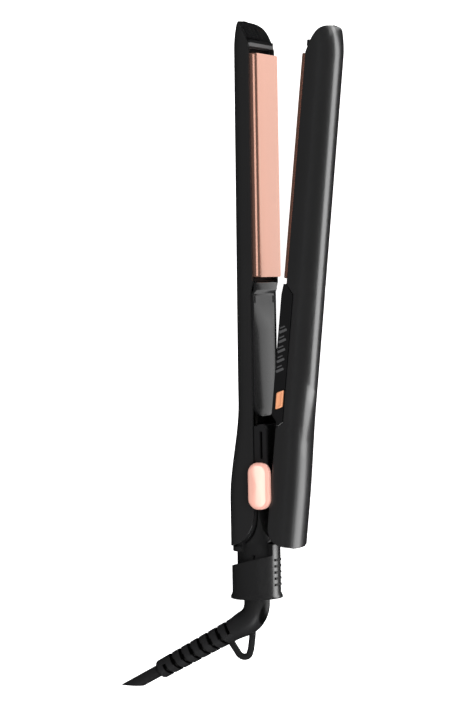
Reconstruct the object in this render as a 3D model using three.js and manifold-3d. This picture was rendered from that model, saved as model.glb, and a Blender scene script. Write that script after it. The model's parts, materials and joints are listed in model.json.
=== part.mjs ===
// Hair-straightening flat iron with floating heated plates, a sliding lock ring and a swivel cord.
//
// Millimetres. The iron lies on its side: +X runs from the hinge pin to the tips, +Z up along the
// hinge pin, +Y from the closing plane to the back of the base arm. The origin is on the outer flat
// face of the lower hinge cap, on the pin's axis.
//
// Each arm is designed closed, in arm coordinates: x along the arm, y from the closing plane out
// to the arm's back, z across. The moving arm's group mirrors y and turns about the pin.

import * as THREE from "three";
import { mergeVertices } from "three/addons/utils/BufferGeometryUtils.js";
import Module from "manifold-3d";

const wasm = await Module();
wasm.setup();

// ---- Driving dimensions ----

const GAP = 0.3; // between neighbouring pieces
const OPENING = THREE.MathUtils.degToRad(6.2); // angle between the arms at rest

const TAIL_X = -30; // hinge axis to the arms' tail ends
const HALF_WIDTH = 15.2; // half of an arm's width
const BACK_RADIUS = 8.5; // round along both edges of an arm's back
const WALL = 1.7;
const SWELL_START_X = 44; // the backs swell from here
const SWELL_END_X = -6; // to here, and keep that depth to the tail
const TAPER_START_X = 60; // from here the backs thin evenly towards the tips
const HANDLE_END_X = 35; // hinge end of the moving arm's cover and of the raised rims
const BASE_COVER_START_X = 36.5; // the base arm's own cover starts a little further on
const HANDLE_START_X = 105.4; // plate end of both inner covers
const HINGE_RIM = 4.8; // closing plane to both shells' rims beside the hinge
const TIP_CORNER_RADIUS = 6; // seen from the back
const TIP_CURVE_LENGTH = 16;

// What differs between the two arms.
const BASE = {
  tipX: 240, // hinge axis to tip
  depth: 16.35, // closing plane to the back, at the handle
  swell: 5.55, // extra depth at the tail
  taper: 1.1, // depth lost evenly along the arm
  tipDrop: 2.2, // and in the curve that ends the tip
  plateFace: 0.3, // closing plane to the plate's face
  plateRim: 3.5, // closing plane to the shell's rim beside the plate
  handleRim: HINGE_RIM, // and beside the handle's cover
};
const MOVING = {
  tipX: 237.6,
  depth: 16.2,
  swell: 1,
  taper: 0.8,
  tipDrop: 2.4,
  plateFace: 1.2,
  plateRim: 4.3,
  handleRim: 8.6,
};

const PLATE_START_X = 108;
const PLATE_END_X = 222;
const PLATE_HALF_WIDTH = 12;
const PLATE_STEP = 1.7; // face down to the side ledge
const PLATE_LEDGE = 0.95; // ledge width on each side
const PLATE_THICKNESS = 4;
const FLANGE_REAR = 1.5; // the ledge's length behind the plate's face
const FLANGE_FRONT = 3; // and in front of it
const FLOAT_TRAVEL = 0.5; // each plate can sink this far into its arm
const FLOAT_PAD_INSET = 6; // the pads' middles, from the plate's ends
const HEATER_START_X = 130;
const HEATER_END_X = 200;
const HEATER_HALF_WIDTH = 7;
const HEATER_THICKNESS = 2.4;
const SENSOR_START_X = 160;
const SENSOR_END_X = 168;
const SENSOR_HALF_WIDTH = 1.8;
const CARRIER_DEPTH = 9.6; // plate's face to the carrier's back
const CARRIER_FLOOR = 1.5;
const CARRIER_FRONT_X = 226.6; // front wall of the plate carrier
const CARRIER_WALL = 2.2;
const CARRIER_SCREW_REAR_X = 123;
const CARRIER_SCREW_FRONT_X = 208;
const SCREW_RADIUS = 1.1;
const SCREW_HEAD_RADIUS = 2.4;
const SCREW_HEAD_HEIGHT = 1.5;
const BOSS_RADIUS = 3;

const COVER_THICKNESS = 1.8;
const BASE_COVER_FACE = 4.4; // closing plane to the base cover
const BASE_COVER_HEAD_FACE = 2.6; // and to its raised head beside the plate
const BASE_COVER_HEAD_X = 101;
const BASE_COVER_END_RADIUS = 9;
const MOVING_COVER_FACE = 1.8; // closing plane to the moving cover
const BUTTON_X = 46.5;
const BUTTON_LENGTH = 8.6;
const BUTTON_LOW_Y = 3.9;
const BUTTON_HIGH_Y = 7.7;
const BUTTON_SLANT = 0.9;
const BUTTON_TRAVEL = 0.7;
const BUTTON_LIP = 0.9; // thickness of the lip that holds the button in
const LIGHT_PIPE_START_X = 61.5;
const LIGHT_PIPE_PITCH = 5;
const LIGHT_PIPE_COUNT = 5;
const LIGHT_PIPE_Y = 4.6;
const LIGHT_PIPE_WIDTH = 1.3;
const LIGHT_PIPE_LENGTH = 4.6; // across the cover's side
const LIGHT_PIPE_LEAN = THREE.MathUtils.degToRad(-28);

const PIN_RADIUS = 2;
const PIN_CLEARANCE = 0.08;
const EAR_OUTSIDE = 14.6; // outer faces of the yoke's ears
const EAR_THICKNESS = 2.3;
const TONGUE_START_X = -5.4; // the slotted tongue of each ear
const TONGUE_END_X = 33;
const TONGUE_LOW_Y = -2.5;
const TONGUE_HIGH_Y = 3.4;
const YOKE_BLOCK_START_X = 14; // the block that ties the ears together under the handle
const YOKE_BLOCK_END_X = 32;
const BARREL_RADIUS = 4.1;
const BARREL_OUTSIDE = EAR_OUTSIDE - EAR_THICKNESS - 0.7;
const BARREL_INSIDE = 4.8;
const CAP_LENGTH = 24;
const CAP_WIDTH = 12.2;
const CAP_CENTRE_X = 1.6;
const CAP_CENTRE_Y = 0.7;
const CAP_INSIDE = HALF_WIDTH + GAP;
const CAP_HEIGHT = 3.5;
const CAP_BEVEL = 1.8;
const MID_HEIGHT = CAP_INSIDE + CAP_HEIGHT; // the arms' mid-plane above the lower cap's face

const CORD_Y = 11.4; // axis of the neck, lock ring and cord
const NECK_RADIUS = 9.8;
const NECK_END_X = -47;
const SWIVEL_BORE = 7.3;
const TAIL_LIP_END_X = -32.6; // lip of the housing that closes the base shell's tail
const TAIL_LIP_LOW_Y = 13;
const TAIL_LIP_INSET = 0.9;
const RING_RADIUS = 12.6;
const RING_BORE = NECK_RADIUS + 0.35;
const RING_LIP_BORE = 7.4; // around the elbow
const RING_FLARE = 0.9;
const RING_END_X = -57.6;
const RING_LOW_X = -41; // the ring's front edge on the base arm's side
const RING_HIGH_X = -34.9; // and on the moving arm's side
const TAB_X = -29.2; // front end of the ring's tab
const TAB_WIDTH = 9.2;
const LOCK_TRAVEL = 4.5;
const RIB_COUNT = 5; // raised grip ribs on the ring
const RIB_START_X = -51;
const RIB_PITCH = 3.2;
const RIB_LENGTH = 1.2;
const RIB_HALF_WIDTH = 3.2;
const RIB_HEIGHT = 0.25;
const SPINDLE_RADIUS = 3.1;

const ELBOW_RADIUS = 6.7;
const ELBOW_BEND_RADIUS = 12;
const ELBOW_BEND = THREE.MathUtils.degToRad(61.8);
const ELBOW_START_X = -60.4;
const RELIEF_START_RADIUS = 5.75;
const RELIEF_END_RADIUS = 5;
const RELIEF_PLAIN = 9; // straight length before the first slot
const RELIEF_LENGTH = 58; // straight length after the bend
const SLOT_PITCH = 6.2;
const SLOT_LENGTH = 2.1;
const SLOT_COUNT = 7; // on each side
const LOOP_RADIUS = 1.75; // the hanging loop's own thickness
const CORD_RADIUS = 3.2;
const CORD_END_X = -107.5; // plane that ends the cord
const LEAD_RADIUS = 0.7;
const LEAD_Z = 4; // the live and neutral leads run at +LEAD_Z and -LEAD_Z

const ROUND_SEGMENTS = 28;

// ---- Solids ----

function solid(geometry) {
  const plain = geometry.index ? geometry.toNonIndexed() : geometry.clone();
  plain.deleteAttribute("normal");
  plain.deleteAttribute("uv");
  const merged = mergeVertices(plain, 1e-4);
  return new wasm.Manifold(
    new wasm.Mesh({
      numProp: 3,
      vertProperties: new Float32Array(merged.attributes.position.array),
      triVerts: new Uint32Array(merged.index.array),
    }),
  );
}

function geometryOf(manifold) {
  const mesh = manifold.getMesh();
  const geometry = new THREE.BufferGeometry();
  geometry.setAttribute("position", new THREE.BufferAttribute(mesh.vertProperties, 3));
  geometry.setIndex(new THREE.BufferAttribute(mesh.triVerts, 1));
  geometry.computeVertexNormals();
  return geometry;
}

const join = (first, ...rest) => rest.reduce((a, b) => a.add(b), first);
const cut = (first, ...rest) => rest.reduce((a, b) => a.subtract(b), first);

function extrude(shape, depth, options = {}) {
  return new THREE.ExtrudeGeometry(shape, {
    depth,
    bevelEnabled: false,
    curveSegments: 3,
    ...options,
  });
}

// A shape drawn in x, y, standing from z = low to z = high.
function prismZ(shape, low, high, options) {
  return solid(extrude(shape, high - low, options).translate(0, 0, low));
}

// A shape drawn in x, z, running from y = low to y = high.
function prismY(shape, low, high, options) {
  const geometry = extrude(shape, high - low, options);
  geometry.applyMatrix4(new THREE.Matrix4().set(1, 0, 0, 0, 0, 0, -1, high, 0, 1, 0, 0, 0, 0, 0, 1));
  return solid(geometry);
}

function box(x0, x1, y0, y1, z0, z1) {
  const geometry = new THREE.BoxGeometry(x1 - x0, y1 - y0, z1 - z0);
  return solid(geometry.translate((x0 + x1) / 2, (y0 + y1) / 2, (z0 + z1) / 2));
}

function cylinderZ(radius, x, y, low, high, segments = ROUND_SEGMENTS) {
  const geometry = new THREE.CylinderGeometry(radius, radius, high - low, segments);
  return solid(geometry.rotateX(Math.PI / 2).translate(x, y, (low + high) / 2));
}

function cylinderY(radius, x, z, low, high, segments = ROUND_SEGMENTS) {
  const geometry = new THREE.CylinderGeometry(radius, radius, high - low, segments);
  return solid(geometry.translate(x, (low + high) / 2, z));
}

// A profile of [x, radius] points turned about the line y = CORD_Y, z = 0, listed along +X.
function turnedX(profile, segments = ROUND_SEGMENTS) {
  const points = profile.map(([x, radius]) => new THREE.Vector2(radius, x));
  const geometry = new THREE.LatheGeometry(points, segments);
  geometry.applyMatrix4(
    new THREE.Matrix4().set(0, 1, 0, 0, 1, 0, 0, CORD_Y, 0, 0, -1, 0, 0, 0, 0, 1),
  );
  return solid(geometry);
}

const cylinderX = (radius, low, high, segments) =>
  turnedX([[low, 0], [low, radius], [high, radius], [high, 0]], segments);

function circle(radius) {
  return new THREE.Shape().absarc(0, 0, radius, 0, 2 * Math.PI, false);
}

// A round bar along a curve, with flat ends.
function barAlong(curve, radius, steps, sides = 8) {
  const geometry = extrude(circle(radius), 1, {
    steps,
    curveSegments: sides / 2,
    extrudePath: curve,
  });
  return solid(geometry);
}

function roundedRectangle(x0, x1, y0, y1, radius) {
  const shape = new THREE.Shape();
  shape.moveTo(x0 + radius, y0);
  shape.lineTo(x1 - radius, y0);
  shape.absarc(x1 - radius, y0 + radius, radius, -Math.PI / 2, 0, false);
  shape.lineTo(x1, y1 - radius);
  shape.absarc(x1 - radius, y1 - radius, radius, 0, Math.PI / 2, false);
  shape.lineTo(x0 + radius, y1);
  shape.absarc(x0 + radius, y1 - radius, radius, Math.PI / 2, Math.PI, false);
  shape.lineTo(x0, y0 + radius);
  shape.absarc(x0 + radius, y0 + radius, radius, Math.PI, 1.5 * Math.PI, false);
  return shape;
}

// ---- Arm shells ----

// How much deeper the back is at x than at the handle.
function swellAt(arm, x) {
  const swell = arm.swell * THREE.MathUtils.smoothstep(-x, -SWELL_START_X, -SWELL_END_X);
  const taper = arm.taper * Math.max(0, (x - TAPER_START_X) / (arm.tipX - TAPER_START_X));
  const tipShare = Math.max(0, (x - arm.tipX + TIP_CURVE_LENGTH) / TIP_CURVE_LENGTH);
  return swell - taper - arm.tipDrop * tipShare * tipShare;
}

// How far the back's inner wall is from the closing plane at x.
const innerBackAt = (arm, x) => arm.depth + swellAt(arm, x) - WALL;

// The arm's solid form, or the form inside its wall: a U with a round back, open edge down to y = low.
function armForm(arm, inset, low, startX, endX) {
  const half = HALF_WIDTH - inset;
  const back = arm.depth - inset;
  const radius = BACK_RADIUS - inset;
  const section = new THREE.Shape();
  section.moveTo(low, -half);
  section.lineTo(back - radius, -half);
  section.absarc(back - radius, -half + radius, radius, -Math.PI / 2, 0, false);
  section.absarc(back - radius, half - radius, radius, 0, Math.PI / 2, false);
  section.lineTo(low, half);
  const stations = [startX];
  const swellSteps = 7;
  for (let i = 0; i <= swellSteps; i += 1) {
    stations.push(SWELL_END_X + ((SWELL_START_X - SWELL_END_X) * i) / swellSteps);
  }
  stations.push(TAPER_START_X);
  for (const share of [0, 0.35, 0.65, 0.85]) {
    stations.push(endX - TIP_CURVE_LENGTH * (1 - share));
  }
  stations.push(endX);
  const steps = stations.length - 1;
  const geometry = extrude(section, steps, { steps, curveSegments: 4 });
  const position = geometry.getAttribute("position");
  for (let i = 0; i < position.count; i += 1) {
    const x = stations[Math.round(position.getZ(i))];
    const depth = position.getX(i);
    const share = Math.max(depth, 0) / back;
    position.setXYZ(i, x, depth + share * swellAt(arm, x), position.getY(i));
  }
  return solid(geometry);
}

// The arm seen from its side: what is kept of the form. The tip is a convex slant, the rim follows
// the plate and the handle, and the tail's inner corner is rounded off.
function sideOutline(arm, tailCorner) {
  const { tipX, depth, swell, plateRim, handleRim } = arm;
  const top = depth + swell + 5;
  const outline = new THREE.Shape();
  outline.moveTo(TAIL_X - 1, top);
  outline.lineTo(TAIL_X + tailCorner.start, HINGE_RIM + tailCorner.height);
  outline.quadraticCurveTo(
    TAIL_X + 2.5, HINGE_RIM, TAIL_X + tailCorner.length, HINGE_RIM,
  );
  outline.lineTo(HANDLE_END_X - 3, HINGE_RIM);
  outline.lineTo(HANDLE_END_X, handleRim);
  outline.lineTo(HANDLE_START_X - 5, handleRim);
  outline.lineTo(HANDLE_START_X, plateRim);
  outline.lineTo(tipX - 15, plateRim);
  outline.quadraticCurveTo(tipX - 3.5, plateRim + 3.5, tipX - 0.4, depth - 3.8);
  outline.lineTo(tipX, top);
  return outline;
}

// The arm seen from its back: rounded corners at the tip.
function planOutline(arm, inset) {
  return roundedRectangle(
    TAIL_X - 12, arm.tipX - inset, -HALF_WIDTH - 1 + inset, HALF_WIDTH + 1 - inset,
    TIP_CORNER_RADIUS,
  );
}

// How far the plate carrier's back is from the closing plane.
const trayBack = (arm) => arm.plateFace + CARRIER_DEPTH;

function armShell(arm, tailCorner, tailWall) {
  const outer = armForm(arm, 0, -1, TAIL_X, arm.tipX)
    .intersect(prismZ(sideOutline(arm, tailCorner), -HALF_WIDTH - 2, HALF_WIDTH + 2))
    .intersect(prismY(planOutline(arm, 0), -2, arm.depth + arm.swell + 4));
  const cavityStart = tailWall ? TAIL_X + WALL : TAIL_X - 2;
  const cavity = armForm(arm, WALL, -2, cavityStart, arm.tipX - WALL).intersect(
    prismY(planOutline(arm, WALL), -3, arm.depth + arm.swell + 4),
  );
  const bosses = [CARRIER_SCREW_REAR_X, CARRIER_SCREW_FRONT_X].map((x) =>
    cut(
      cylinderY(BOSS_RADIUS, x, 0, trayBack(arm) + GAP, innerBackAt(arm, x) + WALL / 2, 16),
      cylinderY(SCREW_RADIUS + 0.2, x, 0, trayBack(arm), innerBackAt(arm, x) - 0.1, 12),
    ),
  );
  return join(cut(outer, cavity), ...bosses);
}

function baseShell() {
  return armShell(BASE, { start: 0, length: 20, height: 15.2 }, false);
}

function movingShell() {
  return armShell(MOVING, { start: 1.5, length: 12, height: 10 }, true);
}

// ---- Plates and what is under them ----

function heaterPlate(arm) {
  const face = arm.plateFace;
  const faceBlock = prismY(
    roundedRectangle(PLATE_START_X, PLATE_END_X, -PLATE_HALF_WIDTH, PLATE_HALF_WIDTH, 0.8),
    face, face + PLATE_STEP + 0.1, { curveSegments: 3 },
  );
  const flangeHalf = PLATE_HALF_WIDTH + PLATE_LEDGE;
  const flange = box(
    PLATE_START_X - FLANGE_REAR, PLATE_END_X + FLANGE_FRONT,
    face + PLATE_STEP, face + PLATE_THICKNESS, -flangeHalf, flangeHalf,
  );
  return join(faceBlock, flange);
}

function heaterElement(arm) {
  const top = arm.plateFace + PLATE_THICKNESS + GAP;
  const bottom = top + HEATER_THICKNESS;
  const half = HEATER_HALF_WIDTH;
  const body = box(HEATER_START_X, HEATER_END_X, top, bottom, -half, half);
  const terminal = box(HEATER_START_X - 6, HEATER_START_X + 1, top + 0.7, bottom - 0.7, -4, 4);
  return join(body, terminal);
}

// A bead sensor strapped under the heater element.
function temperatureSensor(arm) {
  const top = arm.plateFace + PLATE_THICKNESS + HEATER_THICKNESS + 2 * GAP;
  const outline = roundedRectangle(
    SENSOR_START_X, SENSOR_END_X, -SENSOR_HALF_WIDTH, SENSOR_HALF_WIDTH, SENSOR_HALF_WIDTH - 0.1,
  );
  return prismY(outline, top, top + 1.8, { curveSegments: 4 });
}

// Heat-resistant tray: floor, side rails and end walls, screwed to the shell's bosses.
function plateCarrier(arm) {
  const face = arm.plateFace;
  const half = HALF_WIDTH - WALL - GAP;
  const back = trayBack(arm);
  const railFront = face + PLATE_THICKNESS + FLOAT_TRAVEL + GAP;
  const rear = HANDLE_START_X + 0.4;
  const floorFront = back - CARRIER_FLOOR;
  const innerForm = armForm(arm, WALL + GAP, -2, TAIL_X, arm.tipX - 4);
  const blank = box(rear, CARRIER_FRONT_X + CARRIER_WALL, arm.plateRim - 0.3, back, -half, half);
  const roomEnd = PLATE_END_X + FLANGE_FRONT + 0.5;
  const plateRoom = box(
    PLATE_START_X - FLANGE_REAR - 0.4, roomEnd, arm.plateRim - 1, railFront, -half - 1, half + 1,
  );
  const trayRoom = box(
    PLATE_START_X - 0.6, roomEnd, railFront - 1, floorFront, -half + 1, half - 1,
  );
  const sensorWindow = box(SENSOR_START_X - 4, SENSOR_END_X + 4, floorFront - 1, back + 1, -4, 4);
  const leadWindow = box(PLATE_START_X + 1, PLATE_START_X + 9, floorFront - 1, back + 1, -6, 6);
  const screwHoles = [CARRIER_SCREW_REAR_X, CARRIER_SCREW_FRONT_X].map((x) =>
    cylinderY(SCREW_RADIUS + 0.5, x, 0, back - 3, back + 1, 16),
  );
  const frontWall = box(
    CARRIER_FRONT_X, CARRIER_FRONT_X + CARRIER_WALL, back - 1, arm.depth, -half, half,
  );
  const tray = cut(blank, plateRoom, trayRoom, sensorWindow, leadWindow, ...screwHoles);
  return join(tray, frontWall).intersect(innerForm);
}

// A silicone block that carries one end of the plate and lets it float.
function floatPad(arm, centreX) {
  const back = trayBack(arm) - CARRIER_FLOOR - GAP;
  const front = arm.plateFace + PLATE_THICKNESS + FLOAT_TRAVEL + 0.05;
  const block = box(centreX - 3, centreX + 3, front, back, -11, 11);
  const hollow = box(centreX - 1.5, centreX + 1.5, front - 1, back + 1, -8, 8);
  return cut(block, hollow);
}

function carrierScrew(arm, x) {
  const seat = trayBack(arm) - CARRIER_FLOOR - GAP / 3;
  const top = seat - SCREW_HEAD_HEIGHT;
  const head = cylinderY(SCREW_HEAD_RADIUS, x, 0, top, seat, 16);
  const shank = cylinderY(SCREW_RADIUS, x, 0, seat - 1, innerBackAt(arm, x) - GAP, 12);
  const reach = SCREW_HEAD_RADIUS - 0.8;
  const recess = box(x - reach, x + reach, top - 1, top + 0.6, -0.3, 0.3);
  const crossRecess = box(x - 0.3, x + 0.3, top - 1, top + 0.6, -reach, reach);
  return cut(join(head, shank), recess, crossRecess);
}

// ---- Inner handle covers ----

// The base arm's cover lies inside the shell's rim, with a raised head beside the plate.
function baseInnerCover() {
  const half = HALF_WIDTH - WALL - GAP;
  const end = HANDLE_START_X - 0.1;
  const round = BASE_COVER_END_RADIUS;
  const roundX = BASE_COVER_START_X + round;
  const profile = new THREE.Shape();
  profile.moveTo(BASE_COVER_START_X, BASE_COVER_FACE);
  profile.lineTo(BASE_COVER_HEAD_X - 1.5, BASE_COVER_FACE);
  profile.lineTo(BASE_COVER_HEAD_X + 0.5, BASE_COVER_HEAD_FACE);
  profile.lineTo(end, BASE_COVER_HEAD_FACE);
  profile.lineTo(end, BASE_COVER_HEAD_FACE + COVER_THICKNESS);
  profile.lineTo(BASE_COVER_HEAD_X + 1.4, BASE_COVER_HEAD_FACE + COVER_THICKNESS);
  profile.lineTo(BASE_COVER_HEAD_X - 0.4, BASE_COVER_FACE + COVER_THICKNESS);
  profile.lineTo(BASE_COVER_START_X, BASE_COVER_FACE + COVER_THICKNESS);
  const plan = new THREE.Shape();
  plan.moveTo(roundX, -half);
  plan.lineTo(BASE_COVER_HEAD_X - 2, -half);
  plan.lineTo(BASE_COVER_HEAD_X, -PLATE_HALF_WIDTH);
  plan.lineTo(end + 1, -PLATE_HALF_WIDTH);
  plan.lineTo(end + 1, PLATE_HALF_WIDTH);
  plan.lineTo(BASE_COVER_HEAD_X, PLATE_HALF_WIDTH);
  plan.lineTo(BASE_COVER_HEAD_X - 2, half);
  plan.lineTo(roundX, half);
  plan.absarc(roundX, half - round, round, Math.PI / 2, Math.PI, false);
  plan.absarc(roundX, -half + round, round, Math.PI, 1.5 * Math.PI, false);
  const blank = prismZ(profile, -half, half).intersect(prismY(plan, 0, 10));
  const markX = BASE_COVER_HEAD_X - 4.4;
  const marks = [-10.6, 10.6].map((z) =>
    box(markX - 1.8, markX + 1.8, BASE_COVER_FACE - 1, BASE_COVER_FACE + 0.5, z - 0.7, z + 0.7),
  );
  return cut(blank, ...marks);
}

// The button is a leaning parallelogram on the side of the moving arm's cover.
function buttonOutline(grow) {
  const half = BUTTON_LENGTH / 2 + grow;
  const low = BUTTON_LOW_Y - grow;
  const high = BUTTON_HIGH_Y + grow;
  const outline = new THREE.Shape();
  outline.moveTo(BUTTON_X - half - BUTTON_SLANT, low);
  outline.lineTo(BUTTON_X + half - BUTTON_SLANT, low);
  outline.lineTo(BUTTON_X + half + BUTTON_SLANT, high);
  outline.lineTo(BUTTON_X - half + BUTTON_SLANT, high);
  return outline;
}

function lightPipeOutline(index, grow) {
  const centre = LIGHT_PIPE_START_X + LIGHT_PIPE_PITCH * index;
  const half = LIGHT_PIPE_WIDTH / 2 + grow;
  const reach = LIGHT_PIPE_LENGTH / 2 + grow;
  const outline = roundedRectangle(-half, half, -reach, reach, half - 0.1);
  const points = outline.getPoints(3).map((point) => {
    point.rotateAround(new THREE.Vector2(), LIGHT_PIPE_LEAN);
    return new THREE.Vector2(centre + point.x, LIGHT_PIPE_Y + point.y);
  });
  return new THREE.Shape(points.slice(0, -1));
}

// The moving arm's cover wraps the sides down to the shell's rim and carries the controls.
function movingInnerCover() {
  const start = HANDLE_END_X + 0.4;
  const end = HANDLE_START_X - 0.1;
  const low = MOVING_COVER_FACE;
  const high = MOVING.handleRim - GAP;
  const outer = armForm(MOVING, 0, 0, TAIL_X, MOVING.tipX);
  const inner = armForm(MOVING, WALL, 0, TAIL_X + 1, MOVING.tipX - 1);
  const profile = new THREE.Shape();
  profile.moveTo(start + 3, low);
  profile.lineTo(end - 5.5, low);
  profile.lineTo(end, low + 0.8);
  profile.lineTo(end, MOVING.plateRim - GAP + 0.1);
  profile.lineTo(end - 5.2, high);
  profile.lineTo(start + 0.1, high);
  profile.lineTo(start - 0.2, low + 3.2);
  const hollow = box(start + WALL, end - 6.2, low + COVER_THICKNESS, high + 1, -HALF_WIDTH, HALF_WIDTH);
  const blank = outer.intersect(prismZ(profile, -HALF_WIDTH - 1, HALF_WIDTH + 1));
  const openings = [prismZ(buttonOutline(GAP), HALF_WIDTH - WALL - 1, HALF_WIDTH + 1)];
  for (let i = 0; i < LIGHT_PIPE_COUNT; i += 1) {
    openings.push(prismZ(lightPipeOutline(i, 0.12), HALF_WIDTH - WALL - 2, HALF_WIDTH + 1));
  }
  return cut(blank, hollow.intersect(inner), ...openings);
}

function powerButton() {
  const face = prismZ(buttonOutline(0), HALF_WIDTH - WALL - 0.6, HALF_WIDTH + 0.5);
  const reach = BUTTON_LENGTH / 2 + 1.6;
  const lipTop = HALF_WIDTH - WALL - GAP;
  const lip = box(
    BUTTON_X - reach, BUTTON_X + reach, BUTTON_LOW_Y, BUTTON_HIGH_Y + 0.6,
    lipTop - BUTTON_LIP, lipTop,
  );
  return join(face, lip);
}

function powerSwitch() {
  const top = HALF_WIDTH - WALL - GAP - BUTTON_LIP - BUTTON_TRAVEL - 0.1;
  const y = (BUTTON_LOW_Y + BUTTON_HIGH_Y) / 2;
  const body = box(BUTTON_X - 3, BUTTON_X + 3, y - 1.5, y + 3, top - 4.4, top - 1);
  return join(body, cylinderZ(1.2, BUTTON_X, y, top - 1.2, top, 16));
}

function lightPipe(index) {
  return prismZ(lightPipeOutline(index, 0), HALF_WIDTH - WALL - 1.2, HALF_WIDTH + 0.15);
}

function controlBoard() {
  const front = 9.4;
  const back = 11;
  const board = prismY(roundedRectangle(38, 97, -11.5, 11.5, 1.5), front, back, { curveSegments: 2 });
  const capacitor = box(56, 68, back - 0.5, back + 2, -6, 4);
  const regulator = box(76, 84, back - 0.5, back + 1.6, -4, 4);
  const terminal = box(90, 95, back - 0.5, back + 1.6, -7, 7);
  return join(board, capacitor, regulator, terminal);
}

// ---- Hinge ----

// Fixed to the base arm: two ears on the pin, each with a slotted tongue beside the handle.
function hingeYoke() {
  const tongue = roundedRectangle(TONGUE_START_X, TONGUE_END_X, TONGUE_LOW_Y, TONGUE_HIGH_Y, 2.9);
  const slot = roundedRectangle(TONGUE_START_X + 20.4, TONGUE_END_X - 3.5, -0.4, 1.2, 0.75);
  const ears = [EAR_OUTSIDE - EAR_THICKNESS, -EAR_OUTSIDE].map((low) =>
    cut(
      prismZ(tongue, low, low + EAR_THICKNESS),
      prismZ(slot, low - 1, low + EAR_THICKNESS + 1),
      cylinderZ(PIN_RADIUS + PIN_CLEARANCE, 0, 0, low - 1, low + EAR_THICKNESS + 1),
    ),
  );
  const half = HALF_WIDTH - WALL - GAP;
  const start = YOKE_BLOCK_START_X;
  const end = YOKE_BLOCK_END_X;
  const web = box(start, end, 2.4, 4.2, -EAR_OUTSIDE, EAR_OUTSIDE);
  const block = box(start, end, 3.6, 9.5, -half, half);
  const hollow = box(start + 3, end - 3, 5, 10, -half + 1.8, half - 1.8);
  const screwHoles = [-8, 8].map((z) => cylinderY(1.5, (start + end) / 2, z, 0, 6, 16));
  return cut(join(ears[0], ears[1], web, block), hollow, ...screwHoles);
}

// Fixed to the moving arm: two barrels on the pin, with the spring between them.
function movingHingeBracket() {
  const barrels = cylinderZ(BARREL_RADIUS, 0, 0, -BARREL_OUTSIDE, BARREL_OUTSIDE);
  const arms = box(-3.6, 9, 2.4, 11, -BARREL_OUTSIDE, BARREL_OUTSIDE);
  const foot = box(-7, 12, 9.5, 11.5, -BARREL_OUTSIDE, BARREL_OUTSIDE);
  const springRoom = box(-9, 13, -6, 8.2, -BARREL_INSIDE, BARREL_INSIDE);
  const bore = cylinderZ(PIN_RADIUS + PIN_CLEARANCE, 0, 0, -20, 20);
  const screwHoles = [-8, 8].map((z) => cylinderY(1.4, 10.5, z, 8, 13, 12));
  return cut(join(barrels, arms, foot), springRoom, bore, ...screwHoles);
}

function hingePin() {
  const reach = EAR_OUTSIDE - 0.1;
  const socketDepth = 3;
  const shaft = cylinderZ(PIN_RADIUS, 0, 0, -reach, reach);
  const upperSocket = cylinderZ(1.5, 0, 0, reach - socketDepth, reach + 1, 16);
  const lowerSocket = cylinderZ(1.5, 0, 0, -reach - 1, socketDepth - reach, 16);
  return cut(shaft, upperSocket, lowerSocket);
}

// A washer between an ear and a barrel.
function hingeWasher() {
  const low = BARREL_OUTSIDE + 0.1;
  return cut(
    cylinderZ(3.6, 0, 0, low, low + 0.5, 20),
    cylinderZ(PIN_RADIUS + 0.15, 0, 0, low - 1, low + 2, 20),
  );
}

// A softened oval cap with a flat face, and a stem that snaps into the pin's end.
function hingeCap() {
  const halfLength = CAP_LENGTH / 2 - CAP_BEVEL;
  const halfWidth = CAP_WIDTH / 2 - CAP_BEVEL;
  const shape = roundedRectangle(-halfLength, halfLength, -halfWidth, halfWidth, halfWidth - 0.6);
  const dome = solid(
    extrude(shape, CAP_HEIGHT - CAP_BEVEL, {
      bevelEnabled: true,
      bevelSize: CAP_BEVEL,
      bevelThickness: CAP_BEVEL,
      bevelSegments: 3,
    }).translate(CAP_CENTRE_X, CAP_CENTRE_Y, CAP_INSIDE),
  ).intersect(box(-20, 20, -10, 10, CAP_INSIDE, CAP_INSIDE + CAP_HEIGHT + 1));
  const foot = prismZ(roundedRectangle(-8, 8, -2, 2.2, 2), EAR_OUTSIDE + 0.25, CAP_INSIDE + 0.5);
  const stem = cylinderZ(1.2, 0, 0, EAR_OUTSIDE - 2.6, CAP_INSIDE, 16);
  return join(dome, foot, stem);
}

class OpeningSpringPath extends THREE.Curve {
  // A coil about the pin that ends in a leg along each arm.
  getPoint(t, target = new THREE.Vector3()) {
    const radius = 3.2;
    const turns = 3.5;
    const pitch = 1.75;
    const leg = 12;
    const legShare = 0.15;
    const coilHalf = (turns * pitch) / 2;
    const along = THREE.MathUtils.clamp((t - legShare) / (1 - 2 * legShare), 0, 1);
    const angle = Math.PI / 2 + along * turns * 2 * Math.PI;
    const run = Math.max(legShare - t, t - 1 + legShare, 0) * (leg / legShare);
    return target.set(
      radius * Math.cos(angle) + run,
      radius * Math.sin(angle),
      -coilHalf + along * turns * pitch,
    );
  }
}

function openingSpring() {
  return barAlong(new OpeningSpringPath(), 0.6, 72, 6);
}

// ---- Swivel, lock ring and cord ----

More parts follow.
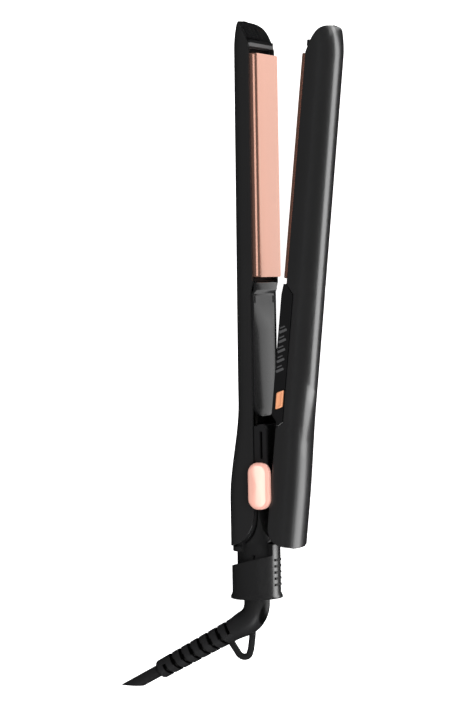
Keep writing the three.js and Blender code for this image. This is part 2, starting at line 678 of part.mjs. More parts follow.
// A bell that grows out of the base arm's tail and ends in the round neck.
function swivelHousing() {
  const bell = turnedX([
    [NECK_END_X, 0],
    [NECK_END_X, NECK_RADIUS],
    [-31, NECK_RADIUS],
    [-27, 10.6],
    [-22, 12.6],
    [-16, 14],
    [-9, 14.4],
    [-9, 0],
  ]);
  const outline = new THREE.Shape();
  outline.moveTo(NECK_END_X - 1, CORD_Y - NECK_RADIUS - 1);
  outline.lineTo(-28, CORD_Y - NECK_RADIUS - 1);
  outline.quadraticCurveTo(-22, 3.4, -9, 3.6);
  outline.lineTo(-9, 6.6);
  outline.quadraticCurveTo(-24.5, 6.8, TAIL_X - 0.6, CORD_Y + NECK_RADIUS + 0.3);
  outline.lineTo(NECK_END_X - 1, CORD_Y + NECK_RADIUS + 0.3);
  const body = bell.intersect(prismZ(outline, -12.9, 12.9));
  const core = cylinderX(9.2, NECK_END_X, -12, 24);
  const bore = cylinderX(SWIVEL_BORE, NECK_END_X - 1, -24);
  const cordHole = cylinderX(3.6, -30, -5, 20);
  const index = prismZ(
    new THREE.Shape([
      new THREE.Vector2(-34.8, CORD_Y - 4),
      new THREE.Vector2(-34.8, CORD_Y - 2.2),
      new THREE.Vector2(-38.2, CORD_Y - 3.1),
    ].reverse()),
    NECK_RADIUS - 2.3, NECK_RADIUS + 1,
  );
  const trackEnd = TAB_X + LOCK_TRAVEL + GAP;
  const tabTrack = cut(
    box(TAB_X - 1, trackEnd, -5, CORD_Y - 6, -TAB_WIDTH / 2 - GAP, TAB_WIDTH / 2 + GAP),
    cylinderX(NECK_RADIUS, TAB_X - 2, trackEnd + 1),
  );
  const insideShell = armForm(BASE, WALL + GAP, 0, TAIL_X - 2, BASE.tipX - 4);
  const behindShell = box(NECK_END_X - 1, TAIL_X - GAP, -5, 30, -HALF_WIDTH, HALF_WIDTH);
  const lip = armForm(BASE, TAIL_LIP_INSET, 0, TAIL_LIP_END_X, BASE.tipX - 4).intersect(box(
    TAIL_LIP_END_X, TAIL_X - GAP, TAIL_LIP_LOW_Y, 30, -HALF_WIDTH, HALF_WIDTH,
  ));
  return cut(join(body, core, lip), bore, cordHole, index, tabTrack)
    .intersect(join(insideShell, behindShell));
}

function lockRing() {
  const wall = turnedX([
    [RING_END_X, RING_LIP_BORE],
    [RING_END_X, RING_RADIUS + RING_FLARE],
    [RING_END_X + 1.1, RING_RADIUS + RING_FLARE],
    [RING_END_X + 3.2, RING_RADIUS],
    [TAB_X, RING_RADIUS],
    [TAB_X, RING_BORE],
    [RING_END_X + 1.4, RING_BORE],
    [RING_END_X + 1.4, RING_LIP_BORE],
    [RING_END_X, RING_LIP_BORE],
  ], 40);
  const reach = RING_RADIUS + 3;
  const aboveEdge = new THREE.Shape();
  aboveEdge.moveTo(RING_LOW_X, CORD_Y + RING_RADIUS);
  aboveEdge.lineTo(RING_HIGH_X, CORD_Y - RING_RADIUS);
  aboveEdge.lineTo(RING_HIGH_X, CORD_Y - reach);
  aboveEdge.lineTo(TAB_X + 2, CORD_Y - reach);
  aboveEdge.lineTo(TAB_X + 2, CORD_Y + reach);
  aboveEdge.lineTo(RING_LOW_X, CORD_Y + reach);
  const tab = box(
    RING_HIGH_X - 3, TAB_X + 3, CORD_Y - reach, CORD_Y - 6, -TAB_WIDTH / 2, TAB_WIDTH / 2,
  );
  const crown = CORD_Y - RING_RADIUS;
  const ribs = [];
  for (let i = 0; i < RIB_COUNT; i += 1) {
    const x = RIB_START_X + RIB_PITCH * i;
    ribs.push(
      box(x, x + RIB_LENGTH, crown - RIB_HEIGHT, crown + 1.2, -RIB_HALF_WIDTH, RIB_HALF_WIDTH),
    );
  }
  return join(cut(wall, cut(prismZ(aboveEdge, -reach, reach), tab)), ...ribs);
}

const reliefDirection = new THREE.Vector3(-Math.cos(ELBOW_BEND), Math.sin(ELBOW_BEND), 0);
const bendEnd = new THREE.Vector3(
  ELBOW_START_X - ELBOW_BEND_RADIUS * Math.sin(ELBOW_BEND),
  CORD_Y + ELBOW_BEND_RADIUS * (1 - Math.cos(ELBOW_BEND)),
  0,
);

// Moves a solid drawn along +Y from the origin onto the straight run after the bend.
function onRelief(manifoldGeometry, along) {
  const turn = new THREE.Matrix4().makeRotationZ(Math.PI / 2 - ELBOW_BEND);
  const place = bendEnd.clone().addScaledVector(reliefDirection, along);
  return manifoldGeometry.applyMatrix4(turn).translate(place.x, place.y, place.z);
}

class BendPath extends THREE.Curve {
  getPoint(t, target = new THREE.Vector3()) {
    const angle = t * ELBOW_BEND;
    return target.set(
      ELBOW_START_X - ELBOW_BEND_RADIUS * Math.sin(angle),
      CORD_Y + ELBOW_BEND_RADIUS * (1 - Math.cos(angle)),
      0,
    );
  }
}

function strainRelief() {
  const stub = turnedX([
    [ELBOW_START_X - 0.05, 0],
    [ELBOW_START_X - 0.05, ELBOW_RADIUS],
    [-26, ELBOW_RADIUS],
    [-26, 0],
  ], 24);
  const bend = barAlong(new BendPath(), ELBOW_RADIUS, 8, 12);
  const taper = solid(onRelief(new THREE.LatheGeometry([
    new THREE.Vector2(0, -0.5),
    new THREE.Vector2(ELBOW_RADIUS - 0.1, -0.5),
    new THREE.Vector2(RELIEF_START_RADIUS, RELIEF_PLAIN),
    new THREE.Vector2(RELIEF_END_RADIUS, RELIEF_LENGTH - 1.5),
    new THREE.Vector2(RELIEF_END_RADIUS - 0.8, RELIEF_LENGTH),
    new THREE.Vector2(0, RELIEF_LENGTH),
  ], 24), 0));
  const slots = [];
  for (let i = 0; i < SLOT_COUNT; i += 1) {
    for (const side of [-1, 1]) {
      const along = RELIEF_PLAIN + 1.8 + SLOT_PITCH * i + (side > 0 ? SLOT_PITCH / 2 : 0);
      const slot = new THREE.BoxGeometry(6, SLOT_LENGTH, 12);
      slot.translate(side * 4.6, 0, 0);
      slots.push(solid(onRelief(slot, along)));
    }
  }
  const cordBore = solid(onRelief(
    new THREE.CylinderGeometry(CORD_RADIUS + 0.1, CORD_RADIUS + 0.1, 14, 16), RELIEF_LENGTH - 4,
  ));
  const spindleBore = cylinderX(SPINDLE_RADIUS + GAP, -44, -20, 20);
  const loopPoints = [
    [-1, -3.6], [-10.1, -2.9], [-14.3, -2.15], [-17.1, -0.9],
    [-18, 1.75], [-17, 4.25], [-12.2, 7.85], [-6.5, 12],
  ];
  const loop = barAlong(new THREE.CatmullRomCurve3(
    loopPoints.map(([x, y]) => bendEnd.clone().add(new THREE.Vector3(x, y, 0))),
    false, "centripetal",
  ), LOOP_RADIUS, 24, 8);
  return cut(join(cut(join(stub, bend, taper), ...slots), loop), cordBore, spindleBore);
}

function powerCord() {
  const length = 40;
  const hidden = 9; // inside the strain relief
  const cord = new THREE.CylinderGeometry(CORD_RADIUS, CORD_RADIUS, length, 20);
  return cut(
    solid(onRelief(cord, RELIEF_LENGTH - hidden + length / 2)),
    box(CORD_END_X - 60, CORD_END_X, 0, 200, -20, 20),
  );
}

// Brass contact spindle that lets the cord turn in the housing.
function swivelSpindle() {
  return turnedX([
    [-43, 0],
    [-43, SPINDLE_RADIUS],
    [-25.4, SPINDLE_RADIUS],
    [-25.4, 5.6],
    [-24.4, 5.6],
    [-24.4, 2.6],
    [-14, 2.6],
    [-13, 1.6],
    [-13, 0],
  ], 20);
}

// ---- Wiring ----

function lead(points) {
  const curve = new THREE.CatmullRomCurve3(points.map((p) => new THREE.Vector3(...p)));
  return barAlong(curve, LEAD_RADIUS, 14, 6);
}

function baseLead(z) {
  return lead([[6, 13, z], [36, 12, z], [90, 11.8, z], [106, 12, z], [113, 11.4, z], [114, 9.2, z]]);
}

function movingLead(z) {
  return lead([[97, 11.7, z], [104, 11.9, z], [110, 11.8, z], [113, 11.2, z], [114, 9.6, z]]);
}

// ---- Assembly ----

function finish(color, roughness, metalness) {
  return () => new THREE.MeshStandardMaterial({ color, roughness, metalness });
}

const satinBlack = finish(0x1e1e1f, 0.45, 0);
const satinGrey = finish(0x3b3c3e, 0.5, 0);
const roseGold = finish(0xeab9a5, 0.28, 1);
const heatBlack = finish(0x2a2a2c, 0.65, 0);
const steel = finish(0xb9bcc0, 0.3, 1);
const brass = finish(0xc6a463, 0.35, 1);
const ceramic = finish(0xe9e6dd, 0.6, 0);
const silicone = finish(0x8e3b32, 0.7, 0);
const cordRubber = finish(0x19191a, 0.6, 0);
const boardGreen = finish(0x1f5b3a, 0.55, 0);
const milky = finish(0xb9b9ba, 0.4, 0);
const leadSleeve = finish(0xd9d4c8, 0.7, 0);

function piece(name, manifold, material) {
  const mesh = new THREE.Mesh(geometryOf(manifold), material());
  mesh.name = name;
  return mesh;
}

function armPieces(prefix, arm) {
  return [
    piece(`${prefix}_plate_carrier`, plateCarrier(arm), heatBlack),
    piece(`${prefix}_heater_plate`, heaterPlate(arm), roseGold),
    piece(`${prefix}_heater_element`, heaterElement(arm), ceramic),
    piece(`${prefix}_temperature_sensor`, temperatureSensor(arm), ceramic),
    piece(`${prefix}_float_pad_rear`, floatPad(arm, PLATE_START_X + FLOAT_PAD_INSET), silicone),
    piece(`${prefix}_float_pad_front`, floatPad(arm, PLATE_END_X - FLOAT_PAD_INSET), silicone),
    piece(`${prefix}_carrier_screw_rear`, carrierScrew(arm, CARRIER_SCREW_REAR_X), steel),
    piece(`${prefix}_carrier_screw_front`, carrierScrew(arm, CARRIER_SCREW_FRONT_X), steel),
  ];
}

const baseArm = new THREE.Group();
baseArm.add(
  piece("base_outer_shell", baseShell(), satinBlack),
  piece("base_inner_cover", baseInnerCover(), satinGrey),
  ...armPieces("base", BASE),
  piece("base_lead_live", baseLead(LEAD_Z), leadSleeve),
  piece("base_lead_neutral", baseLead(-LEAD_Z), leadSleeve),
);

const movingArm = new THREE.Group();
movingArm.scale.y = -1;
movingArm.rotation.z = -OPENING;
movingArm.add(
  piece("moving_outer_shell", movingShell(), satinBlack),
  piece("moving_inner_cover", movingInnerCover(), satinGrey),
  ...armPieces("moving", MOVING),
  piece("moving_lead_live", movingLead(LEAD_Z), leadSleeve),
  piece("moving_lead_neutral", movingLead(-LEAD_Z), leadSleeve),
  piece("moving_hinge_bracket", movingHingeBracket(), heatBlack),
  piece("control_board", controlBoard(), boardGreen),
  piece("power_switch", powerSwitch(), heatBlack),
  piece("power_button", powerButton(), roseGold),
);
for (let i = 0; i < LIGHT_PIPE_COUNT; i += 1) {
  movingArm.add(piece(`light_pipe_${i + 1}`, lightPipe(i), milky));
}

const hinge = new THREE.Group();
hinge.add(
  piece("hinge_yoke", hingeYoke(), heatBlack),
  piece("hinge_pin", hingePin(), steel),
  piece("opening_spring", openingSpring(), steel),
  piece("hinge_washer_upper", hingeWasher(), steel),
  piece("hinge_cap_upper", hingeCap(), roseGold),
);
const lowerWasher = piece("hinge_washer_lower", hingeWasher(), steel);
const lowerCap = piece("hinge_cap_lower", hingeCap(), roseGold);
for (const lower of [lowerWasher, lowerCap]) {
  lower.scale.z = -1;
  hinge.add(lower);
}

const cordEnd = new THREE.Group();
cordEnd.add(
  piece("swivel_housing", swivelHousing(), satinBlack),
  piece("lock_ring", lockRing(), satinBlack),
  piece("swivel_spindle", swivelSpindle(), brass),
  piece("strain_relief", strainRelief(), cordRubber),
  piece("power_cord", powerCord(), cordRubber),
);

const flatIron = new THREE.Group();
flatIron.position.z = MID_HEIGHT;
flatIron.add(baseArm, movingArm, hinge, cordEnd);

export default flatIron;
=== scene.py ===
"""Looks of the flat iron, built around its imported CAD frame.

Shapes are worked out in millimetres. Each arm has its own coordinates: x along the arm from the
hinge, y from the closing plane to the arm's back, z across. place() takes them to the row frame.
"""

import json
import math

import bmesh
import bpy
import numpy as np
from mathutils import Matrix, Vector

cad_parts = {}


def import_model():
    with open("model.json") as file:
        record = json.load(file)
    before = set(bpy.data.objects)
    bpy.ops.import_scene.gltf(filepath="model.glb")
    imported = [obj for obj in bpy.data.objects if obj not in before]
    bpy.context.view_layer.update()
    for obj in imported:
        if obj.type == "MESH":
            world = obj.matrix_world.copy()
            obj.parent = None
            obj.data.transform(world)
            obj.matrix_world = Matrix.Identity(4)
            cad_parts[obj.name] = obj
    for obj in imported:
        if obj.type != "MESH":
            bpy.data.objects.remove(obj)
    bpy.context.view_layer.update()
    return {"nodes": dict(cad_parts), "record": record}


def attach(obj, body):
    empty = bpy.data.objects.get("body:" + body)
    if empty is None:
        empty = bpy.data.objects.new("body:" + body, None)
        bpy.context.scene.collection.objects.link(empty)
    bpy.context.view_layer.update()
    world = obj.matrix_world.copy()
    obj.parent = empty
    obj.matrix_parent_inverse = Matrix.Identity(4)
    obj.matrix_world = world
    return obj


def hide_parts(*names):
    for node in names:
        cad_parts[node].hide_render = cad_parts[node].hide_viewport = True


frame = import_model()

# ---- Dimensions, as in the CAD source ----

MM = 0.001
MID_HEIGHT = 19.0
OPENING = math.radians(6.2)
TAIL_X = -30.0
HALF_WIDTH = 15.2
BACK_RADIUS = 8.5
WALL = 1.7
SWELL_START_X = 44.0
SWELL_END_X = -6.0
TAPER_START_X = 60.0
TIP_CURVE = 16.0
TIP_CORNER = 6.0
HINGE_RIM = 4.8
HANDLE_START_X = 105.4
HANDLE_END_X = 35.0
BASE_COVER_START_X = 36.5
BASE_COVER_ROUND = 9.0
PLATE_START_X = 108.0
PLATE_END_X = 222.0
PLATE_HALF_WIDTH = 12.0
BUTTON_X = 46.5
BUTTON_HALF = 4.3
BUTTON_SLANT = 0.9
BUTTON_LOW_Y = 3.9
BUTTON_HIGH_Y = 7.7
LIGHT_PIPE_COUNT = 5
LIGHT_PIPE_X = 61.5
LIGHT_PIPE_Y = 4.6
LIGHT_PIPE_PITCH = 5.0
LIGHT_PIPE_LENGTH = 4.6
LIGHT_PIPE_WIDTH = 1.3
LIGHT_PIPE_LEAN = math.radians(-28)
CAP_INSIDE = 15.5
CAP_HEIGHT = 3.5
CAP_BEVEL = 1.8
CAP_LENGTH = 24.0
CAP_WIDTH = 12.2
CAP_CENTRE_X = 1.6
CAP_CENTRE_Y = 0.7
CORD_Y = 11.4
NECK_RADIUS = 9.8
NECK_END_X = -47.0
HOUSING_HALF_WIDTH = 12.9
SWIVEL_BORE = 7.3
RING_RADIUS = 12.6
RING_BORE = NECK_RADIUS + 0.35
RING_LIP_BORE = 7.4
RING_END_X = -57.6
RING_LOW_X = -41.0
RING_HIGH_X = -34.9
TAB_X = -29.2
TAB_WIDTH = 9.2
ELBOW_RADIUS = 6.7
ELBOW_BEND_RADIUS = 12.0
ELBOW_BEND = math.radians(61.8)
BEND_LENGTH = ELBOW_BEND_RADIUS * ELBOW_BEND
ELBOW_START_X = -60.4
RELIEF_START_RADIUS = 5.75
RELIEF_END_RADIUS = 5.0
RELIEF_PLAIN = 9.0
RELIEF_LENGTH = 58.0
SLOT_COUNT = 7
SLOT_PITCH = 6.2
LOOP_RADIUS = 1.75
CORD_RADIUS = 3.2
CORD_END_X = -107.5

BASE = dict(
    tip=240.0, depth=16.35, swell=5.55, taper=1.1, drop=2.2, tail_start=0.0,
    plate_face=0.3, plate_rim=3.5, handle_rim=HINGE_RIM, tail=(20.0, 15.2),
)
MOVING = dict(
    tip=237.6, depth=16.2, swell=1.0, taper=0.8, drop=2.4, tail_start=1.5,
    plate_face=1.2, plate_rim=4.3, handle_rim=8.6, tail=(12.0, 10.0),
)

# ---- Details that only the looks have ----

BACK_POWER = 2.6  # exponent of the superellipse from the back to the sides
TIP_EDGE = 0.95  # rounding where the tip's wall ends
TIP_INSET = 0.38  # keeps the rounded tip inside the CAD's size
RIM_EDGE = 0.35
ROUND_SHARE = 0.29  # how far a rounded edge's middle lies in, as a share of its radius
RIM_STEPS = 26
SECTION_STEPS = 34
TAIL_ROOM = 0.15  # from the tail plane to the first section
PLATE_EDGE = 0.3
PLATE_FLANGE = 0.75
BUTTON_EDGE = 0.5
CAP_DOME = 0.22
RING_FLARE = RING_RADIUS + 0.9
RING_MARKS = 5
RING_MARK_X = -51.0
RING_MARK_PITCH = 3.2
CORE_RADIUS = 9.1
LIP_LOW_Y = 13.0
RELIEF_ROOT_X = -26.0
SLOT_FLOOR_RADIUS = 3.75
SLOT_SHADE_RADIUS = 4.85  # nearer the axis than this, the relief is near black
WHITE = (1, 1, 1, 1)


# ---- Placing ----

def place(arm, points):
    """Arm coordinates in millimetres to the row frame in metres."""
    p = np.asarray(points, float)
    x, y, z = p[:, 0], p[:, 1], p[:, 2] + MID_HEIGHT
    if arm is MOVING:
        c, s = math.cos(OPENING), math.sin(OPENING)
        x, y = x * c - y * s, -x * s - y * c
    return np.stack([x, y, z], axis=1) * MM


# ---- Meshes ----

def add_object(name, data):
    obj = bpy.data.objects.new(name, data)
    bpy.context.scene.collection.objects.link(obj)
    return obj


def mesh_object(name, points, faces, arm=BASE):
    mesh = bpy.data.meshes.new(name)
    mesh.from_pydata([tuple(p) for p in place(arm, points)], [], faces)
    work = bmesh.new()
    work.from_mesh(mesh)
    bmesh.ops.remove_doubles(work, verts=work.verts, dist=1e-7)
    bmesh.ops.recalc_face_normals(work, faces=work.faces)
    work.to_mesh(mesh)
    work.free()
    return add_object(name, mesh)


def loft(rings):
    """Points and faces of a closed solid through rings of equal length."""
    count = len(rings[0])
    points = np.concatenate([np.asarray(r, float) for r in rings])
    faces = [tuple(range(count)), tuple(range(len(points) - 1, len(points) - count - 1, -1))]
    for i in range(len(rings) - 1):
        for j in range(count):
            k = (j + 1) % count
            faces.append((i * count + k, i * count + j, (i + 1) * count + j, (i + 1) * count + k))
    return points, faces


def at_x(x, section):
    """Points (x, y, z) of a section's (y, z)."""
    return np.stack([np.full(len(section), x), section[:, 0], section[:, 1]], axis=1)


def both_halves(side):
    """A closed section from the half that starts on the middle plane."""
    return np.concatenate([side, (side * np.array([1, -1]))[:0:-1]])


def carve(obj, operation, *tools):
    """Applies booleans with the tool objects, which are then removed."""
    for tool in tools:
        modifier = obj.modifiers.new("carve", "BOOLEAN")
        modifier.operation = operation
        modifier.object = tool
        modifier.solver = "EXACT"
        graph = bpy.context.evaluated_depsgraph_get()
        mesh = bpy.data.meshes.new_from_object(obj.evaluated_get(graph))
        obj.modifiers.clear()
        obj.data = mesh
        bpy.data.objects.remove(tool)


def box(x0, x1, y0, y1, z0, z1):
    ring = [(y0, z0), (y1, z0), (y1, z1), (y0, z1)]
    return mesh_object("tool", *loft([[(x, y, z) for y, z in ring] for x in (x0, x1)]))


def prism_z(outline, low, high, arm=BASE, name="tool"):
    return mesh_object(name, *loft([[(x, y, z) for x, y in outline] for z in (low, high)]), arm)


def turned_rings(profile, segments):
    """A ring about the cord's axis for each (x, radius) of the profile."""
    turn = np.arange(segments) * 2 * math.pi / segments
    rings = []
    for x, radius in profile:
        r = max(radius, 1e-3)
        rings.append(at_x(x, np.stack([CORD_Y + r * np.cos(turn), r * np.sin(turn)], axis=1)))
    return rings


def revolve(profile, segments=96, name="tool"):
    """A solid from a profile that starts and ends on the cord's axis."""
    return mesh_object(name, *loft(turned_rings(profile, segments)))


def closed_revolve(profile, segments, name):
    """A ring with a bore, from a closed profile."""
    faces = []
    for i in range(len(profile)):
        n = (i + 1) % len(profile)
        for j in range(segments):
            k = (j + 1) % segments
            faces.append((i * segments + j, i * segments + k, n * segments + k, n * segments + j))
    return mesh_object(name, np.concatenate(turned_rings(profile, segments)), faces)


def rounded(x0, x1, y0, y1, radius, steps):
    """A rectangle with rounded corners, as (x, y)."""
    points = []
    for cx, cy, start in (
        (x1 - radius, y0 + radius, -90), (x1 - radius, y1 - radius, 0),
        (x0 + radius, y1 - radius, 90), (x0 + radius, y0 + radius, 180),
    ):
        for i in range(steps + 1):
            a = math.radians(start + 90 * i / steps)
            points.append((cx + radius * math.cos(a), cy + radius * math.sin(a)))
    return points


def quadratic(start, control, end, steps):
    t = np.linspace(0, 1, steps + 1)[:, None]
    start, control, end = np.array(start), np.array(control), np.array(end)
    return (1 - t) ** 2 * start + 2 * t * (1 - t) * control + t ** 2 * end


def cord_path(along):
    """Point and direction on the cord's centre line; along is 0 where the elbow starts to bend."""
    if along <= 0:
        return np.array([ELBOW_START_X - along, CORD_Y, 0.0]), 0.0
    angle = min(along, BEND_LENGTH) / ELBOW_BEND_RADIUS
    point = np.array([
        ELBOW_START_X - ELBOW_BEND_RADIUS * math.sin(angle),
        CORD_Y + ELBOW_BEND_RADIUS * (1 - math.cos(angle)), 0.0,
    ])
    rest = max(along - BEND_LENGTH, 0.0)
    return point + rest * np.array([-math.cos(angle), math.sin(angle), 0.0]), angle


# ---- Arm shells ----

def smoothstep(x, low, high):
    t = min(max((x - low) / (high - low), 0.0), 1.0)
    return t * t * (3 - 2 * t)


def back_at(arm, x):
    swell = arm["swell"] * smoothstep(-x, -SWELL_START_X, -SWELL_END_X)
    taper = arm["taper"] * max(0.0, (x - TAPER_START_X) / (arm["tip"] - TAPER_START_X))
    tip = max(0.0, (x - arm["tip"] + TIP_CURVE) / TIP_CURVE)
    return arm["depth"] + swell - taper - arm["drop"] * tip * tip


def half_at(arm, x, inset):
    """Half of the arm's width at x. The tip's corners are arcs that start 1 mm outside its sides."""
    over = x - (arm["tip"] - inset - TIP_CORNER)
    arc = math.sqrt(max(TIP_CORNER ** 2 - over ** 2, 0.0)) if over > 0 else TIP_CORNER
    return min(HALF_WIDTH - inset, HALF_WIDTH + 1 - inset - TIP_CORNER + arc)


def rim_path(arm):
    """The shell's rim as (x, y), from the tail to the tip."""
    length, height = arm["tail"]
    tip, plate, handle = arm["tip"], arm["plate_rim"], arm["handle_rim"]
    top = arm["depth"] + arm["swell"] + 5
    tail = quadratic(
        (TAIL_X + arm["tail_start"], HINGE_RIM + height), (TAIL_X + 2.5, HINGE_RIM),
        (TAIL_X + length, HINGE_RIM), RIM_STEPS,
    )
    end = quadratic(
        (tip - 15, plate), (tip - 3.5, plate + 3.5), (tip - 0.4, arm["depth"] - 3.8), RIM_STEPS,
    )
    middle = [
        (HANDLE_END_X - 3, HINGE_RIM), (HANDLE_END_X, handle),
        (HANDLE_START_X - 5, handle), (HANDLE_START_X, plate),
    ]
    return np.array([(TAIL_X - 1, top), *tail, *middle, *end])


def half_section(arm, x, inset, low):
    """Points (y, z) of one half of the U, from the middle of the back down to low."""
    half = half_at(arm, x, inset)
    back = back_at(arm, x) - inset
    depth = BACK_RADIUS - inset
    power = 2.0 / BACK_POWER
    t = np.linspace(0, math.pi / 2, 160)
    y = back - depth + depth * np.cos(t) ** power
    z = half * np.sin(t) ** power
    low = min(low, back - 0.05)
    y = np.append(y, min(low, back - depth) - 1.0)
    z = np.append(z, half)
    keep = y > low
    z_end = np.interp(-low, -y, z)
    y = np.append(y[keep], low)
    z = np.append(z[keep], z_end)
    run = np.concatenate([[0], np.cumsum(np.hypot(np.diff(y), np.diff(z)))])
    at = np.linspace(0, run[-1], SECTION_STEPS)
    return np.stack([np.interp(at, run, y), np.interp(at, run, z)], axis=1)


def shell_ring(arm, x, rim, shrink=0.0):
    """One closed section of the shell's wall: outside, rounded rim, inside, rounded rim."""
    back = back_at(arm, x)
    low = min(rim + shrink, back - 0.4)
    edge_low = low + RIM_EDGE
    outer = half_section(arm, x, shrink, edge_low)
    inner = half_section(arm, x, WALL, edge_low)
    inner[:, 0] = np.maximum(np.minimum(inner[:, 0], back - WALL), edge_low)
    lip_out, lip_in = outer[-1, 1], inner[-1, 1]
    cut = RIM_EDGE * ROUND_SHARE
    lip = [
        (low + cut, lip_out - cut), (low, lip_out - RIM_EDGE),
        (low, max(lip_in + RIM_EDGE, 0.02)), (low + cut, max(lip_in + cut, 0.01)),
    ]
    side = np.concatenate([outer, lip, inner[::-1]])
    other = side[::-1] * np.array([1, -1])
    return at_x(x, np.concatenate([side, other[1:-1]]))


def shell_start(arm, path):
    """Where the tail's rim has come far enough below the back for the wall to begin."""
    below = 0.6
    back = np.array([back_at(arm, x) for x in path[:, 0]])
    first = np.argmax(path[:, 1] < back - below)
    before, after = path[first - 1], path[first]
    share = (before[1] - back[first] + below) / (before[1] - after[1])
    return first, max(before[0] + share * (after[0] - before[0]), TAIL_X + TAIL_ROOM)


def shell(arm, name):
    """An arm's whole outer shell, from the rounded tail to the rounded tip."""
    path = rim_path(arm)
    first, start = shell_start(arm, path)
    last = arm["tip"] - TIP_EDGE - TIP_INSET
    wanted = np.concatenate([
        path[first:, 0],
        np.linspace(start, SWELL_START_X + 2, 34),
        np.linspace(TAPER_START_X, arm["tip"] - TIP_CURVE - 2, 22),
        arm["tip"] - TIP_CURVE * (1 - np.sin(np.linspace(0, 1.5, 14))),
    ])
    stations = {round(float(x), 3) for x in wanted}
    stations = {x for x in stations if start <= x < last} | {round(float(start), 3), last}

    def ring(x, shrink=0.0):
        return shell_ring(arm, x, np.interp(x, path[:, 0], path[:, 1]), shrink)

    rings = [ring(x) for x in sorted(stations)]
    tail_ring = ring(min(stations), 0.3)
    tail_ring[:, 0] -= 0.12
    rings.insert(0, tail_ring)
    for angle in np.radians([20, 40, 60, 80]):
        rings.append(ring(last + TIP_EDGE * math.sin(angle), TIP_EDGE * (1 - math.cos(angle))))
    return mesh_object(name, *loft(rings), arm)


# ---- Procedural looks ----

def map_range(nodes, links, source, low, high):
    node = nodes.new("ShaderNodeMapRange")
    node.inputs["To Min"].default_value = low
    node.inputs["To Max"].default_value = high
    links.new(source, node.inputs["Value"])
    return node.outputs["Result"]


def noise(nodes, links, vector, scale, detail=2.0):
    node = nodes.new("ShaderNodeTexNoise")
    node.inputs["Scale"].default_value = scale
    node.inputs["Detail"].default_value = detail
    links.new(vector, node.inputs["Vector"])
    return node.outputs["Fac"]


def combine(nodes, links, kind, operation, *inputs):
    """A math or vector math node, fed with sockets and plain values."""
    node = nodes.new(kind)
    node.operation = operation
    for socket, value in zip(node.inputs, inputs):
        if isinstance(value, bpy.types.NodeSocket):
            links.new(value, socket)
        else:
            socket.default_value = value
    return node


def recolour(nodes, links, share, base, color):
    mix = nodes.new("ShaderNodeMixRGB")
    mix.inputs["Color2"].default_value = (*color, 1)
    links.new(share, mix.inputs["Fac"])
    links.new(base, mix.inputs["Color1"])
    return mix.outputs["Color"]


def look(
    name, color, roughness, metallic=0.0, spread=0.08, grain=900.0, stretch=(1, 1, 1),
    bump=0.02, coat=0.0, coat_roughness=0.2, coat_ior=1.5, edge=0.25, specular=0.5, marks=None,
):
    """A node material whose colour, roughness and surface vary with a noise in object space."""
    material = bpy.data.materials.new(name)
    material.use_nodes = True
    nodes, links = material.node_tree.nodes, material.node_tree.links
    shader = nodes["Principled BSDF"]
    where = nodes.new("ShaderNodeTexCoord")
    mapping = nodes.new("ShaderNodeMapping")
    mapping.inputs["Scale"].default_value = stretch
    links.new(where.outputs["Object"], mapping.inputs["Vector"])
    fine = noise(nodes, links, mapping.outputs["Vector"], grain, detail=3.0)
    broad = noise(nodes, links, mapping.outputs["Vector"], grain / 20)
    tint = nodes.new("ShaderNodeMixRGB")
    tint.blend_type = "MULTIPLY"
    tint.inputs["Fac"].default_value = 1.0
    tint.inputs["Color1"].default_value = (*color, 1)
    links.new(map_range(nodes, links, broad, 1 - spread, 1 + spread), tint.inputs["Color2"])
    base = tint.outputs["Color"]
    if marks:
        base = marks(nodes, links, where.outputs["Object"], base)
    links.new(base, shader.inputs["Base Color"])
    rough = map_range(nodes, links, fine, roughness * (1 - spread), roughness * (1 + spread))
    links.new(rough, shader.inputs["Roughness"])
    rounding = nodes.new("ShaderNodeBevel")
    rounding.samples = 4
    rounding.inputs["Radius"].default_value = edge * MM
    relief = nodes.new("ShaderNodeBump")
    relief.inputs["Strength"].default_value = bump
    relief.inputs["Distance"].default_value = 0.2 * MM
    links.new(fine, relief.inputs["Height"])
    links.new(rounding.outputs["Normal"], relief.inputs["Normal"])
    links.new(relief.outputs["Normal"], shader.inputs["Normal"])
    shader.inputs["Metallic"].default_value = metallic
    shader.inputs["Specular IOR Level"].default_value = specular
    shader.inputs["Coat Weight"].default_value = coat
    shader.inputs["Coat Roughness"].default_value = coat_roughness
    shader.inputs["Coat IOR"].default_value = coat_ior
    return material


def painted_highlight_bar(nodes, links, where, base):
    """Painted highlight: a lighter grey bar across the base arm's carrier, past the plate's end,
    standing in for its lit end wall.
    """
    middle_x, half = (PLATE_END_X + 4.3) * MM, 1.0 * MM
    split = nodes.new("ShaderNodeSeparateXYZ")
    links.new(where, split.inputs["Vector"])
    band = combine(nodes, links, "ShaderNodeMath", "COMPARE", split.outputs["X"], middle_x, half)
    on_base = combine(nodes, links, "ShaderNodeMath", "GREATER_THAN", split.outputs["Y"], 0.0)
    both = combine(nodes, links, "ShaderNodeMath", "MULTIPLY", band.outputs[0], on_base.outputs[0])
    return recolour(nodes, links, both.outputs[0], base, (0.13, 0.13, 0.132))


def slot_shade(nodes, links, where, base):
    """Near black inside the slots, that is closer to the cord's axis than the relief's skin."""
    corner = place(BASE, [cord_path(BEND_LENGTH)[0]])[0]
    ahead = (-math.cos(ELBOW_BEND), math.sin(ELBOW_BEND), 0)
    offset = combine(nodes, links, "ShaderNodeVectorMath", "SUBTRACT", where, tuple(corner))
    cross = combine(
        nodes, links, "ShaderNodeVectorMath", "CROSS_PRODUCT", offset.outputs["Vector"], ahead,
    )
    radius = combine(nodes, links, "ShaderNodeVectorMath", "LENGTH", cross.outputs["Vector"])
    inside = combine(
        nodes, links, "ShaderNodeMath", "LESS_THAN", radius.outputs["Value"], SLOT_SHADE_RADIUS * MM,
    )
    return recolour(nodes, links, inside.outputs[0], base, (0.001, 0.001, 0.001))


